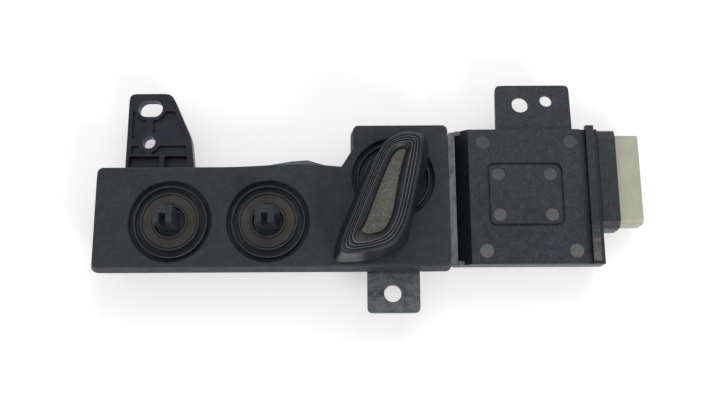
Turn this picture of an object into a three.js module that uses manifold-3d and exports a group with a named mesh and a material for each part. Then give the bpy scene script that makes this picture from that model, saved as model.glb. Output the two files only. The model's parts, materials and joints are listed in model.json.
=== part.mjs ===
// Seat adjuster switch pack: a flat electronics case that carries three rubber-booted switch
// stems, a recliner knob on one of them, a sealed module and an edge connector.
//
// Millimetres, +Z up. The case lies on its back. While it is built, X = 0 is the left end of the
// rubber cover, Y = 0 its front edge and Z = 0 the case's back; the finished group is then moved
// so that the origin is the middle of its footprint.

import * as THREE from 'three';
import { mergeVertices } from 'three/addons/utils/BufferGeometryUtils.js';
import Module from 'manifold-3d';

const wasm = await Module();
wasm.setup();

// ---------------------------------------------------------------- fits shared by every piece
const gap = 0.3;                  // air left between neighbouring pieces
const wall = 1.5;                 // moulded wall of the case halves
const overcut = 1;                // how far a cutter runs past the face it opens

// ---------------------------------------------------------------- rubber cover and switch frame
const coverLength = 120.6;
const bodyDepth = 34.8;           // the narrow part with the two cushion switches
const blockLength = 32.8;         // the deeper part with the recliner switch
const blockDepth = 49.1;
const stepRun = 3.9;              // slanted shoulder between the two
const stepRise = 6.4;
const coverCornerRadius = 1.8;
const coverTop = 21;
const coverSkirt = 7.8;           // height of the cover's side wall
const rubberTop = 1.3;            // rubber thickness on top
const rubberWall = 1.2;           // rubber thickness at the sides
const frameDeck = 1.5;
const frameFoot = 8.5;            // where the frame's side walls end

// ---------------------------------------------------------------- switch wells and boots
const wellRadius = 14.1;
const wellLeftInset = 25.6;       // cover's left end to the first well
const wellPitch = 33.3;
const wellFrontInset = 15.7;
const reclinerRightInset = 19.0;  // cover's right end to the recliner switch
const reclinerRearInset = 18.7;
const webTop = 18;                // bottom of the well, a thin rubber web
const webThickness = 1;
const webHoleRadius = 8;
const ridgeRadius = 12.3;         // raised ring between the two grooves of the well
const ridgeWidth = 0.8;
const ridgeTop = 20.2;
const bootRadius = 10;
const bootTop = 20.8;
const bootWall = 0.8;
const bootLipWidth = 0.8;
const bootLipRise = 0.4;
const cupWall = 1.5;              // frame wall around each well

// ---------------------------------------------------------------- cushion switch mechanism
const cushionTravel = 1.2;        // each way, along X
const liftTravel = 1.2;           // each way, along Y
const stemFlangeRadius = 7.3;
const stemFlange = 1.4;
const stemHubRadius = 5;
const stemNeck = 9;               // square neck that slides in the slider's slot
const stemTenon = 5;
const stemTop = 32.7;
const postWidth = 6.2;
const postDepth = 6.0;
const postSlotWidth = 2.1;
const postSlotDepth = 3.3;
const postSlotDrop = 7;           // how far the slot runs down the post
const postLugWidth = 1.2;
const postLugDepth = 2.4;
const postLugDrop = 3;
const sliderThickness = 2;
const sliderLug = 1.5;
const sliderSpringLength = 9.1;
const sliderSpringRadius = 2.2;
const springWire = 0.7;
const footLength = 14;            // magnet carrier plate under the slider, along X
const footDepth = 13;
const magnetRadius = 3;
const magnetThickness = 2;
const magnetCupWall = 1.3;
const sensorGap = 0.9;            // air between a magnet and its sensor
const returnSpringReach = 9;      // stem axis to the bend of the return spring

// ---------------------------------------------------------------- recliner switch mechanism
const bearingRadius = 5;
const bearingWall = 1.5;
const bearingFoot = 13;
const reclinerShaft = 6;          // square shaft under the bearing
const reclinerPost = 5;           // square post inside the knob
const reclinerPostTop = 29;
const reclinerArm = 12;           // shaft axis to its magnet
const knobFoot = 23;
const knobTop = 35;
const knobWall = 1.6;
const knobRoof = 1.8;
const knobInsertTop = 33;
const knobInsertThickness = 1.4;
const knobSocketWall = 0.9;
const knobClipWire = 0.7;

// Knob outlines as [x, y] from the recliner axis. The four rings share one numbering, from the
// front-left tip around the front, up the right side, over the rear and down the left side.
const knobBaseRing = [
  [-20.1, -26.2], [-18.4, -29.3], [-9.5, -28.9], [-1.8, -26.8], [3.9, -23.0], [6.2, -15.0],
  [9.8, -3.5], [11.7, 7.0], [11.2, 14.2], [7.0, 15.6], [0.0, 13.0], [-6.6, 6.0],
  [-12.6, -5.5], [-18.4, -19.5],
];
const knobRimRing = [
  [-17.9, -25.5], [-16.3, -28.5], [-8.5, -27.9], [-2.2, -26.2], [1.4, -23.0], [4.4, -16.5],
  [7.3, -4.5], [9.2, 5.5], [9.0, 10.6], [5.6, 12.3], [0.6, 11.3], [-4.2, 7.3],
  [-9.6, -4.6], [-15.3, -18.5],
];
const knobDishRing = [
  [-13.9, -23.0], [-12.2, -24.9], [-7.0, -24.2], [-3.0, -22.2], [-0.4, -18.5], [1.6, -12.8],
  [3.4, -4.0], [5.2, 4.5], [5.9, 8.6], [3.6, 9.0], [0.4, 8.1], [-2.4, 5.0],
  [-7.4, -6.1], [-12.4, -18.2],
];
const knobInsertRing = [
  [-11.2, -20.6], [-9.4, -21.8], [-6.0, -21.4], [-3.7, -20.3], [-1.8, -17.2], [-0.3, -12.6],
  [1.0, -4.9], [2.7, 2.2], [3.9, 6.5], [1.9, 6.8], [0.0, 5.3], [-1.8, 2.1],
  [-5.4, -6.6], [-9.4, -17.2],
];

// ---------------------------------------------------------------- rear shell, board and module
const shellFloor = 2;
const shellRim = 12.4;            // top of the walls that the slider rests on
const shellFlange = 1.5;
const moduleSeam = 0.9;           // cover's right end to the module's grey ledge
const ledgeWidth = 2.3;
const ledgeTop = 13;
const moduleLength = 49.9;        // module cover, ramp included
const moduleFront = 1.2;
const moduleDepth = 48;
const moduleRim = 14.2;
const moduleSkirtFoot = 9.5;      // the module's wall is set back below this height
const moduleSetBack = 2;
const lidThickness = 1.8;
const rampRun = 4.3;
const endRibWidth = 2.8;
const endRibRise = 1.2;
const endRibFrontInset = 0.7;
const endRibOverhang = 1;         // how far it stands past the module's rear edge
const padLeftInset = 10.4;        // module cover's left edge to the outlined pad
const padFrontInset = 13.1;
const padWidth = 26.4;
const padDepth = 22.7;
const padCornerRadius = 3;
const grooveWidth = 0.9;
const grooveDepth = 0.8;
const ribGrooveWidth = 1.8;       // groove between the lid's flat and the end rib
const ribStepWidth = 1.6;         // low step on the rib's outer side
const ribStepDrop = 0.6;
const outerMarkInset = [9.6, 4.6];  // from the module cover's ends and from its long edges
const outerMarkRadius = 2.5;
const innerMarkInset = 4.15;
const innerMarkRadius = 2.35;
const rimDepth = 2;               // locating rim under the lid
const rimThickness = 1.2;
const boardThickness = 1.6;
const boardLift = 1.3;            // standoff height above the floor
const boardEdgeGap = 0.5;
const screwRadius = 1.5;
const screwLength = 10;
const screwHeadRadius = 2.7;
const screwHead = 1.7;
const bossRadius = 3.3;
const bossSplit = 6;              // height at which a shell boss meets the boss above it

// ---------------------------------------------------------------- connector
const collarLength = 6.2;
const collarFrontInset = 13;       // module's front edge to the collar
const collarTop = 13.9;
const collarFoot = 0.4;
const collarWall = 1.4;
const collarCornerRadius = 4;
const headerReach = 8.5;          // how far the white shroud stands out of the collar
const headerWall = 1.4;
const headerCornerRadius = 2.5;
const headerNeck = 5.5;
const headerWeb = 7.4;            // solid part behind the socket
const pinCount = 5;               // pins in each of the two rows
const pinPitch = 4.2;
const pinRowGap = 2.8;
const pinSize = 0.64;
const pinReach = 6.6;             // bare length inside the socket
const pinTail = 5.2;              // length over the board

// ---------------------------------------------------------------- fixing brackets
const bracketLeft = 7.3;
const bracketThickness = 4;
const bracketReach = 29.7;        // cover's rear edge to the bracket's far end
const bracketHeadWidth = 15.4;
const bracketRootWidth = 24.8;
const bracketSlotLength = 8.7;
const bracketSlotWidth = 6.2;
const bracketHoleRadius = 2.3;
const bracketSlotX = 7.9;         // bracket's left edge to the slot and the hole
const bracketSlotInset = 5.6;     // bracket's far end to the slot
const bracketHoleInset = 18.2;
const bracketShoulder = 12.8;     // cover's rear edge to where the slanted side starts
const bracketTaper = 1.8;
const bracketRim = 1.7;           // solid edge around the pockets
const bracketSpine = 2.4;         // rib between the slot and the hole
const bracketCrossRib = 2.6;      // rib across the bracket through the hole
const bracketThinRib = 0.8;
const slotBossWall = 1.2;         // ring left around the slot
const holeBossWall = 1.6;         // ring left around the hole
const pocketInset = 6.6;          // bracket's far end to the upper pockets
const pocketDepth = 1.2;
const lowerPocketWidth = 3.1;
const rootPocketDepth = 2.4;
const rootPocketInset = 0.6;      // cover's rear edge to the deep pockets
const rootRibLeft = 11.9;         // bracket's left edge to the rib between them
const rootRibWidth = 1.8;
const rootRimRight = 3;
const earLeft = 14.4;             // module cover's left edge to the ear
const earDrop = 1.3;              // lid's top to the ear's top
const earBigHole = [9.1, 9.7];    // from the ear's left edge and the module's rear edge
const earSmallHole = [18.4, 11.1];
const earWidth = 27;
const earReach = 16.8;            // module cover's rear edge to the ear's far end
const earThickness = 2.2;
const earBigHoleRadius = 3;
const earSmallHoleRadius = 2.25;
const tabLeft = 92.5;
const tabWidth = 18.1;
const tabReach = 14.6;            // cover's front edge to the tab's far end
const tabThickness = 2.5;
const tabFoot = 9.7;
const tabHoleRadius = 3;
const tabRootLength = 1.2;        // the tab's stretch beside the cover is stepped down
const tabRootStep = 0.3;
const fixingCornerRadius = 1.8;

// ---------------------------------------------------------------- heights that follow
const frameTop = coverTop - rubberTop - gap;
const deckFoot = frameTop - frameDeck;
const cupFloorTop = webTop - webThickness - gap;
const sliderFoot = shellRim + gap;
const sliderTop = sliderFoot + sliderThickness;
const cupFloorFoot = sliderTop + gap;
const footTop = sliderFoot - gap;
const boardFoot = shellFloor + boardLift + gap;
const boardTop = boardFoot + boardThickness;
const sensorFoot = boardTop + gap;
const sensorThickness = 1.2;
const sensorTop = sensorFoot + sensorThickness;
const magnetFoot = sensorTop + sensorGap;
const magnetTop = magnetFoot + magnetThickness;
const lidFoot = moduleRim + gap;
const lidTop = lidFoot + lidThickness;
const hubTop = coverTop - 2.1;
const knobSocketRadius = (reclinerPost / 2 + gap) * Math.SQRT2 + knobSocketWall;

// ---------------------------------------------------------------- plan positions that follow
const frameInset = rubberWall + gap;
const shellInset = frameInset + wall + gap;
const bossInset = shellInset + wall + gap + bossRadius;
const ledgeLeft = coverLength + moduleSeam;
const lidLeft = ledgeLeft + ledgeWidth + 0.1;
const moduleRight = lidLeft + moduleLength + 0.3;
const moduleRear = moduleFront + moduleDepth;
const collarLeft = moduleRight + gap;
const collarRight = collarLeft + collarLength;
const collarRear = moduleRear + 1;
const collarFront = moduleFront + collarFrontInset;
const headerRight = collarRight + headerReach;
const reclinerX = coverLength - reclinerRightInset;
const reclinerY = blockDepth - reclinerRearInset;
const frontStemX = wellLeftInset;
const rearStemX = wellLeftInset + wellPitch;
const stemY = wellFrontInset;
const sliderLeft = shellInset + wall + gap + sliderSpringLength + gap;
const sliderRight = rearStemX + cupWall + wellRadius - 0.7;

// Cover outline as [x, y, corner radius], anticlockwise from the front-left corner.
const coverCorners = [
  [0, 0, coverCornerRadius],
  [coverLength, 0, coverCornerRadius],
  [coverLength, blockDepth, coverCornerRadius],
  [coverLength - blockLength, blockDepth, coverCornerRadius],
  [coverLength - blockLength, bodyDepth + stepRise, 1],
  [coverLength - blockLength - stepRun, bodyDepth, 1],
  [0, bodyDepth, coverCornerRadius],
];

// ================================================================ geometry helpers

// A closed three.js geometry as a solid that can be joined and cut.
function toSolid(geometry) {
  const shell = geometry.clone();
  shell.deleteAttribute('normal');
  shell.deleteAttribute('uv');
  const merged = mergeVertices(shell, 1e-4);
  return new wasm.Manifold(new wasm.Mesh({
    numProp: 3,
    vertProperties: new Float32Array(merged.attributes.position.array),
    triVerts: new Uint32Array(merged.index.array),
  }));
}

// A solid back as a three.js geometry.
function toGeometry(solid) {
  const mesh = solid.getMesh();
  const geometry = new THREE.BufferGeometry();
  geometry.setAttribute('position', new THREE.BufferAttribute(mesh.vertProperties, 3));
  geometry.setIndex(new THREE.BufferAttribute(mesh.triVerts, 1));
  geometry.computeVertexNormals();
  return geometry;
}

function join(...solids) {
  return solids.reduce((whole, piece) => whole.add(piece));
}

function cut(body, ...cutters) {
  return cutters.reduce((rest, cutter) => rest.subtract(cutter), body);
}

// A box given by its low and high corners.
function block(low, high) {
  const geometry = new THREE.BoxGeometry(high[0] - low[0], high[1] - low[1], high[2] - low[2]);
  geometry.translate((low[0] + high[0]) / 2, (low[1] + high[1]) / 2, (low[2] + high[2]) / 2);
  return toSolid(geometry);
}

// A box of a given size in plan, centred on a point.
function post(x, y, width, depth, low, high) {
  return block([x - width / 2, y - depth / 2, low], [x + width / 2, y + depth / 2, high]);
}

// An upright round bar.
function bar(x, y, radius, low, high, sides = 16) {
  const geometry = new THREE.CylinderGeometry(radius, radius, high - low, sides);
  geometry.rotateX(Math.PI / 2);
  geometry.translate(x, y, (low + high) / 2);
  return toSolid(geometry);
}

// An upright tube.
function tube(x, y, innerRadius, outerRadius, low, high, sides = 24) {
  const outer = bar(x, y, outerRadius, low, high, sides);
  return cut(outer, bar(x, y, innerRadius, low - overcut, high + overcut, sides));
}

// A plan outline with its corners rounded.
function roundedShape(corners) {
  const shape = new THREE.Shape();
  corners.forEach(([x, y, radius = 0], index) => {
    const corner = new THREE.Vector2(x, y);
    const before = new THREE.Vector2(...corners.at(index - 1));
    const after = new THREE.Vector2(...corners[(index + 1) % corners.length]);
    const reachIn = corner.clone().add(before.sub(corner).setLength(radius));
    const reachOut = corner.clone().add(after.sub(corner).setLength(radius));
    if (index === 0) {
      shape.moveTo(reachIn.x, reachIn.y);
    } else {
      shape.lineTo(reachIn.x, reachIn.y);
    }
    if (radius > 0) {
      shape.quadraticCurveTo(corner.x, corner.y, reachOut.x, reachOut.y);
    }
  });
  shape.closePath();
  return shape;
}

// An upright plate with a given plan outline.
function plate(shape, low, high, curveSegments = 3) {
  const geometry = new THREE.ExtrudeGeometry(shape, {
    depth: high - low,
    bevelEnabled: false,
    curveSegments,
  });
  geometry.translate(0, 0, low);
  return toSolid(geometry);
}

function roundedPlate(corners, low, high, curveSegments = 3) {
  return plate(roundedShape(corners), low, high, curveSegments);
}

// Corners of a rectangle, all with the same radius.
function rectangle(left, front, right, rear, radius = 0) {
  return [
    [left, front, radius],
    [right, front, radius],
    [right, rear, radius],
    [left, rear, radius],
  ];
}

// The same outline moved inwards all round, for an anticlockwise list of corners.
function inset(corners, distance) {
  const points = corners.map(([x, y]) => new THREE.Vector2(x, y));
  return points.map((point, index) => {
    const before = points.at(index - 1);
    const after = points[(index + 1) % points.length];
    const arriving = point.clone().sub(before).normalize();
    const leaving = after.clone().sub(point).normalize();
    const arrivingNormal = new THREE.Vector2(-arriving.y, arriving.x);
    const leavingNormal = new THREE.Vector2(-leaving.y, leaving.x);
    const bisector = arrivingNormal.clone().add(leavingNormal);
    bisector.multiplyScalar(distance / (1 + arrivingNormal.dot(leavingNormal)));
    const convex = arriving.cross(leaving) > 0;
    const radius = (corners[index][2] ?? 0) - (convex ? distance : -distance);
    return [point.x + bisector.x, point.y + bisector.y, Math.max(radius, 0)];
  });
}

// A closed smooth ring of points through the given plan points.
function smoothRing(points, stepsPerPoint = 2) {
  const curve = new THREE.CatmullRomCurve3(
    points.map(([x, y]) => new THREE.Vector3(x, y, 0)),
    true,
    'centripetal',
  );
  const count = points.length * stepsPerPoint;
  return Array.from({ length: count }, (_, index) => curve.getPoint(index / count));
}

// Each ring point moved towards the ring's inside by a distance.
function shrinkRing(ring, distance) {
  return ring.map((point, index) => {
    const before = ring.at(index - 1);
    const after = ring[(index + 1) % ring.length];
    const along = after.clone().sub(before).normalize();
    return new THREE.Vector3(point.x - along.y * distance, point.y + along.x * distance, 0);
  });
}

// The ring a share of the way from one ring to another.
function ringBetween(from, to, share) {
  return from.map((point, index) => point.clone().lerp(to[index], share));
}

// A solid skinned over rings of equal point count, each given as {ring, z}, lowest first.
function loft(levels) {
  const count = levels[0].ring.length;
  const positions = levels.flatMap(({ ring, z }) => ring.flatMap((point) => [point.x, point.y, z]));
  const faces = [];
  for (let level = 0; level < levels.length - 1; level += 1) {
    for (let index = 0; index < count; index += 1) {
      const next = (index + 1) % count;
      const low = level * count;
      const high = low + count;
      faces.push(low + index, low + next, high + next);
      faces.push(low + index, high + next, high + index);
    }
  }
  const capOf = ({ ring }) => THREE.ShapeUtils.triangulateShape(
    ring.map((point) => new THREE.Vector2(point.x, point.y)),
    [],
  );
  const top = (levels.length - 1) * count;
  capOf(levels[0]).forEach(([a, b, c]) => faces.push(a, c, b));
  capOf(levels.at(-1)).forEach(([a, b, c]) => faces.push(top + a, top + b, top + c));
  const geometry = new THREE.BufferGeometry();
  geometry.setAttribute('position', new THREE.Float32BufferAttribute(positions, 3));
  geometry.setIndex(faces);
  return toSolid(geometry);
}

// A round wire along a list of points.
function wire(points, diameter, steps, sides = 6) {
  const section = new THREE.Shape();
  for (let index = 0; index < sides; index += 1) {
    const angle = (index / sides) * 2 * Math.PI;
    const x = (Math.cos(angle) * diameter) / 2;
    const y = (Math.sin(angle) * diameter) / 2;
    if (index === 0) {
      section.moveTo(x, y);
    } else {
      section.lineTo(x, y);
    }
  }
  section.closePath();
  const path = new THREE.CatmullRomCurve3(points, false, 'centripetal');
  return toSolid(new THREE.ExtrudeGeometry(section, { steps, extrudePath: path }));
}

// ================================================================ materials

const finishes = {
  epdmRubber: { color: 0x2b2f30, roughness: 0.8, metalness: 0 },
  blackPlastic: { color: 0x1d2023, roughness: 0.5, metalness: 0 },
  bluePlastic: { color: 0x14181f, roughness: 0.45, metalness: 0 },
  greyNylon: { color: 0x3d4043, roughness: 0.6, metalness: 0 },
  whiteNylon: { color: 0xb3b6a2, roughness: 0.5, metalness: 0 },
  knobInsert: { color: 0x4b4b45, roughness: 0.7, metalness: 0 },
  whiteAcetal: { color: 0xd8d8d0, roughness: 0.4, metalness: 0 },
  boardGreen: { color: 0x1e5a35, roughness: 0.5, metalness: 0 },
  chipBlack: { color: 0x111111, roughness: 0.4, metalness: 0 },
  capacitorCan: { color: 0xb9bcc0, roughness: 0.3, metalness: 1 },
  tinnedPin: { color: 0xc9c6bd, roughness: 0.3, metalness: 1 },
  zincScrew: { color: 0xa9abac, roughness: 0.35, metalness: 1 },
  springSteel: { color: 0x8d9093, roughness: 0.3, metalness: 1 },
  magnet: { color: 0x53565a, roughness: 0.4, metalness: 1 },
};

const assembly = new THREE.Group();

function addPiece(name, finish, solid) {
  const material = new THREE.MeshStandardMaterial(finishes[finish]);
  const mesh = new THREE.Mesh(toGeometry(solid), material);
  mesh.name = name;
  assembly.add(mesh);
}

// ================================================================ case screws

const moduleBossInset = moduleSetBack + wall + gap + bossRadius;
const frameScrews = [
  [bossInset, bossInset],
  [bossInset, bodyDepth - bossInset],
  [coverLength - bossInset + 1, bossInset],
  [coverLength - bossInset + 1, blockDepth - bossInset],
];
const lidScrews = [
  [lidLeft + bossRadius + 2, moduleFront + moduleBossInset],
  [lidLeft + bossRadius + 2, moduleRear - moduleBossInset],
  [moduleRight - bossRadius - 4.5, moduleFront + moduleBossInset],
  [moduleRight - bossRadius - 12.5, moduleRear - moduleBossInset],
];
const screwPlaces = [...frameScrews, ...lidScrews];
const screwHeadFoot = gap;
const screwTip = screwHeadFoot + screwHead + screwLength;

function caseScrew([x, y]) {
  const head = bar(x, y, screwHeadRadius, screwHeadFoot, screwHeadFoot + screwHead, 12);
  const shank = bar(x, y, screwRadius, screwHeadFoot + screwHead / 2, screwTip, 10);
  const driveSlot = post(x, y, 3, 0.7, screwHeadFoot - overcut, screwHeadFoot + 0.8);
  const crossSlot = post(x, y, 0.7, 3, screwHeadFoot - overcut, screwHeadFoot + 0.8);
  return cut(join(head, shank), driveSlot, crossSlot);
}

screwPlaces.forEach((place, index) => {
  addPiece(`case_screw_${index + 1}`, 'zincScrew', caseScrew(place));
});

// A boss that hangs from above and takes a screw.
function hangingBoss([x, y], high) {
  return bar(x, y, bossRadius, bossSplit + gap, high, 12);
}

function screwPilot([x, y]) {
  return bar(x, y, screwRadius + gap, -overcut, screwTip + gap, 12);
}

// ================================================================ rear shell

function rearShell() {
  const shellLeft = reclinerX;
  const moduleWallFront = moduleFront + moduleSetBack;
  const moduleWallRear = moduleRear - moduleSetBack;
  const switchTray = roundedPlate(inset(coverCorners, shellInset), 0, shellRim);
  const bridgeTray = block(
    [shellLeft, shellInset, 0],
    [coverLength + wall, blockDepth - shellInset, shellRim],
  );
  const moduleTray = block(
    [coverLength, moduleWallFront, 0],
    [moduleRight, moduleWallRear, shellRim],
  );
  const moduleRing = roundedPlate(
    rectangle(ledgeLeft, moduleFront, moduleRight, moduleRear, 1),
    moduleSkirtFoot,
    moduleRim,
  );
  const flangeTop = frameFoot - gap;
  const flange = roundedPlate(inset(coverCorners, 1), flangeTop - shellFlange, flangeTop);
  const tab = roundedPlate(
    [
      [tabLeft, -tabReach, fixingCornerRadius],
      [tabLeft + tabWidth, -tabReach, fixingCornerRadius],
      [tabLeft + tabWidth, -tabRootLength, 0],
      [tabLeft, -tabRootLength, 0],
    ],
    tabFoot,
    tabFoot + tabThickness,
  );
  const tabRoot = block(
    [tabLeft, -tabRootLength - tabThickness, tabFoot],
    [tabLeft + tabWidth, shellInset + wall / 2, tabFoot + tabThickness - tabRootStep],
  );
  const gussetWidth = 1.6;
  const gussets = [tabLeft + 1, tabLeft + tabWidth - gussetWidth - 1].map((x) => block(
    [x, 1.2, flangeTop - shellFlange / 2],
    [x + gussetWidth, shellInset + wall / 2, tabFoot + tabThickness / 2],
  ));
  const outside = join(
    switchTray,
    bridgeTray,
    moduleTray,
    moduleRing,
    flange,
    tab,
    tabRoot,
    ...gussets,
  );

  const switchRoom = roundedPlate(
    inset(coverCorners, shellInset + wall),
    shellFloor,
    moduleRim + overcut,
  );
  const bridgeRoom = block(
    [shellLeft, shellInset + wall, shellFloor],
    [coverLength, blockDepth - shellInset - wall, moduleRim + overcut],
  );
  const passage = block(
    [coverLength - overcut, shellInset + wall, shellFloor],
    [coverLength + wall + overcut, boardRoomRear, moduleRim + overcut],
  );
  const moduleRoom = block(
    [coverLength + wall, moduleWallFront + wall, shellFloor],
    [moduleRight - wall, moduleWallRear - wall, moduleRim + overcut],
  );
  const upperRoom = block(
    [ledgeLeft + ledgeWidth, moduleFront + wall, moduleSkirtFoot + wall],
    [moduleRight - wall, moduleRear - wall, moduleRim + overcut],
  );
  const ledgeCut = block(
    [ledgeLeft - overcut, moduleFront - overcut, ledgeTop],
    [ledgeLeft + ledgeWidth, moduleRear + overcut, moduleRim + overcut],
  );
  const neckHole = block(
    [moduleRight - wall - overcut, headerFront + headerCornerRadius - gap, neckFoot - gap],
    [moduleRight + overcut, neckRear + gap, neckTop + gap],
  );
  const tabHole = bar(
    tabLeft + tabWidth / 2 - 0.3,
    -tabReach / 2 - 0.7,
    tabHoleRadius,
    tabFoot - overcut,
    tabFoot + tabThickness + overcut,
    24,
  );
  const rooms = [switchRoom, bridgeRoom, passage, moduleRoom, upperRoom];
  const tray = cut(outside, ...rooms, ledgeCut, neckHole, tabHole);

  const ledge = block(
    [ledgeLeft, moduleFront + wall / 2, moduleSkirtFoot],
    [ledgeLeft + ledgeWidth, moduleRear - wall / 2, ledgeTop],
  );
  const columns = screwPlaces.map(([x, y]) => (
    bar(x, y, bossRadius, shellFloor / 2, bossSplit, 12)
  ));
  const standoffs = boardStandoffs.map(([x, y]) => bar(
    x,
    y,
    1.6,
    shellFloor / 2,
    shellFloor + boardLift,
    8,
  ));
  const pilots = screwPlaces.map(screwPilot);
  const counterbores = screwPlaces.map(([x, y]) => bar(
    x,
    y,
    screwHeadRadius + gap,
    -overcut,
    screwHeadFoot + screwHead + gap,
    12,
  ));
  return cut(join(tray, ledge, ...columns, ...standoffs), ...pilots, ...counterbores);
}

// ================================================================ board and its parts

const boardLeft = sliderLeft - 2.2;
const boardRight = moduleRight - headerNeck - gap;
const boardFront = shellInset + wall + boardEdgeGap;
const boardRoomRear = Math.min(blockDepth - shellInset, moduleRear - moduleSetBack) - wall;
const boardRear = boardRoomRear - boardEdgeGap;
const boardStep = coverLength - blockLength + shellInset + wall + boardEdgeGap;
const boardStandoffs = [
  [boardLeft + 3, stemY],
  [boardStep - 6, stemY],
  [reclinerX, boardFront + 2.5],
  [reclinerX + 7, boardRear - 3],
  [(lidLeft + moduleRight) / 2, boardFront + 2.5],
  [boardRight - 3, boardRear - 3],
];

function mainBoard() {
  const body = roundedPlate(
    [
      [boardLeft, boardFront, 1],
      [boardRight, boardFront, 1],
      [boardRight, boardRear, 1],
      [boardStep, boardRear, 1],
      [boardStep, bodyDepth - shellInset - wall - boardEdgeGap, 0],
      [boardLeft, bodyDepth - shellInset - wall - boardEdgeGap, 1],
    ],
    boardFoot,
    boardTop,
    2,
  );
  const clearances = screwPlaces.map(([x, y]) => bar(
    x,
    y,
    bossRadius + gap,
    boardFoot - overcut,
    boardTop + overcut,
    12,
  ));
  return cut(body, ...clearances);
}

// A chip or other flat part resting on the board.
function boardPart(x, y, width, depth, height) {
  return post(x, y, width, depth, sensorFoot, sensorFoot + height);
}

// ================================================================ connector

const headerFront = collarFront + collarWall + gap;
const headerRear = collarRear - collarWall - gap;
const headerFoot = collarFoot + collarWall + gap;
const headerTop = collarTop - collarWall - gap;
const headerLeft = moduleRight - headerNeck;
const neckRear = moduleRear - moduleSetBack - wall - gap;
const neckFoot = shellFloor + gap;
const neckTop = headerTop - gap;
const socketLeft = headerLeft + headerWeb;
const pinMiddleY = (headerFront + headerRear) / 2;
const lowPinZ = sensorFoot + pinSize / 2;
const pinRows = [lowPinZ, lowPinZ + pinRowGap];
const pinPlaces = pinRows.flatMap((z, row) => Array.from({ length: pinCount }, (_, index) => ({
  y: pinMiddleY + (index - (pinCount - 1) / 2) * pinPitch,
  z,
  row,
})));

// A shape drawn in the Y-Z plane and extruded along X.
function endPlate(corners, left, right) {
  const geometry = new THREE.ExtrudeGeometry(roundedShape(corners), {
    depth: right - left,
    bevelEnabled: false,
    curveSegments: 4,
  });
  geometry.rotateX(Math.PI / 2);
  geometry.rotateZ(Math.PI / 2);
  geometry.translate(left, 0, 0);
  return toSolid(geometry);
}

function connectorHeader() {
  const outline = rectangle(headerFront, headerFoot, headerRear, headerTop, headerCornerRadius);
  const shroud = endPlate(outline, collarLeft, headerRight);
  const neck = block(
    [headerLeft, headerFront + headerCornerRadius, neckFoot],
    [collarLeft + headerWall, neckRear, neckTop],
  );
  const socket = endPlate(
    rectangle(
      headerFront + headerWall,
      headerFoot + headerWall,
      headerRear - headerWall,
      headerTop - headerWall,
      headerCornerRadius - headerWall,
    ),
    socketLeft,
    headerRight + overcut,
  );
  const keyWidth = 2.4;
  const key = block(
    [socketLeft, headerRear - 9, headerTop - headerWall - overcut],
    [headerRight + overcut, headerRear - 9 + keyWidth, headerTop - headerWall + 0.7],
  );
  const pinHoles = pinPlaces.map(({ y, z }) => block(
    [headerLeft - overcut, y - pinSize / 2 - gap, z - pinSize / 2 - gap],
    [socketLeft + overcut, y + pinSize / 2 + gap, z + pinSize / 2 + gap],
  ));
  return cut(join(shroud, neck), socket, key, ...pinHoles);
}

function connectorCollar() {
  const outline = rectangle(collarFront, collarFoot, collarRear, collarTop, collarCornerRadius);
  const hole = rectangle(
    headerFront - gap,
    headerFoot - gap,
    headerRear + gap,
    headerTop + gap,
    headerCornerRadius,
  );
  return cut(
    endPlate(outline, collarLeft, collarRight),
    endPlate(hole, collarLeft - overcut, collarRight + overcut),
  );
}

// Low pins run straight onto the board; high pins run further and bend down to it.
function connectorPin({ y, z, row }) {
  const half = pinSize / 2;
  const tip = socketLeft + pinReach;
  const tail = headerLeft - pinTail * (row === 0 ? 0.5 : 1);
  const straight = block([tail, y - half, z - half], [tip, y + half, z + half]);
  if (row === 0) {
    return straight;
  }
  return join(straight, block([tail, y - half, sensorFoot], [tail + pinSize, y + half, z + half]));
}

// ================================================================ module cover

function roundMark(x, y, radius, top) {
  return bar(x, y, radius, top - 0.2, top + overcut, 16);
}

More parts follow.
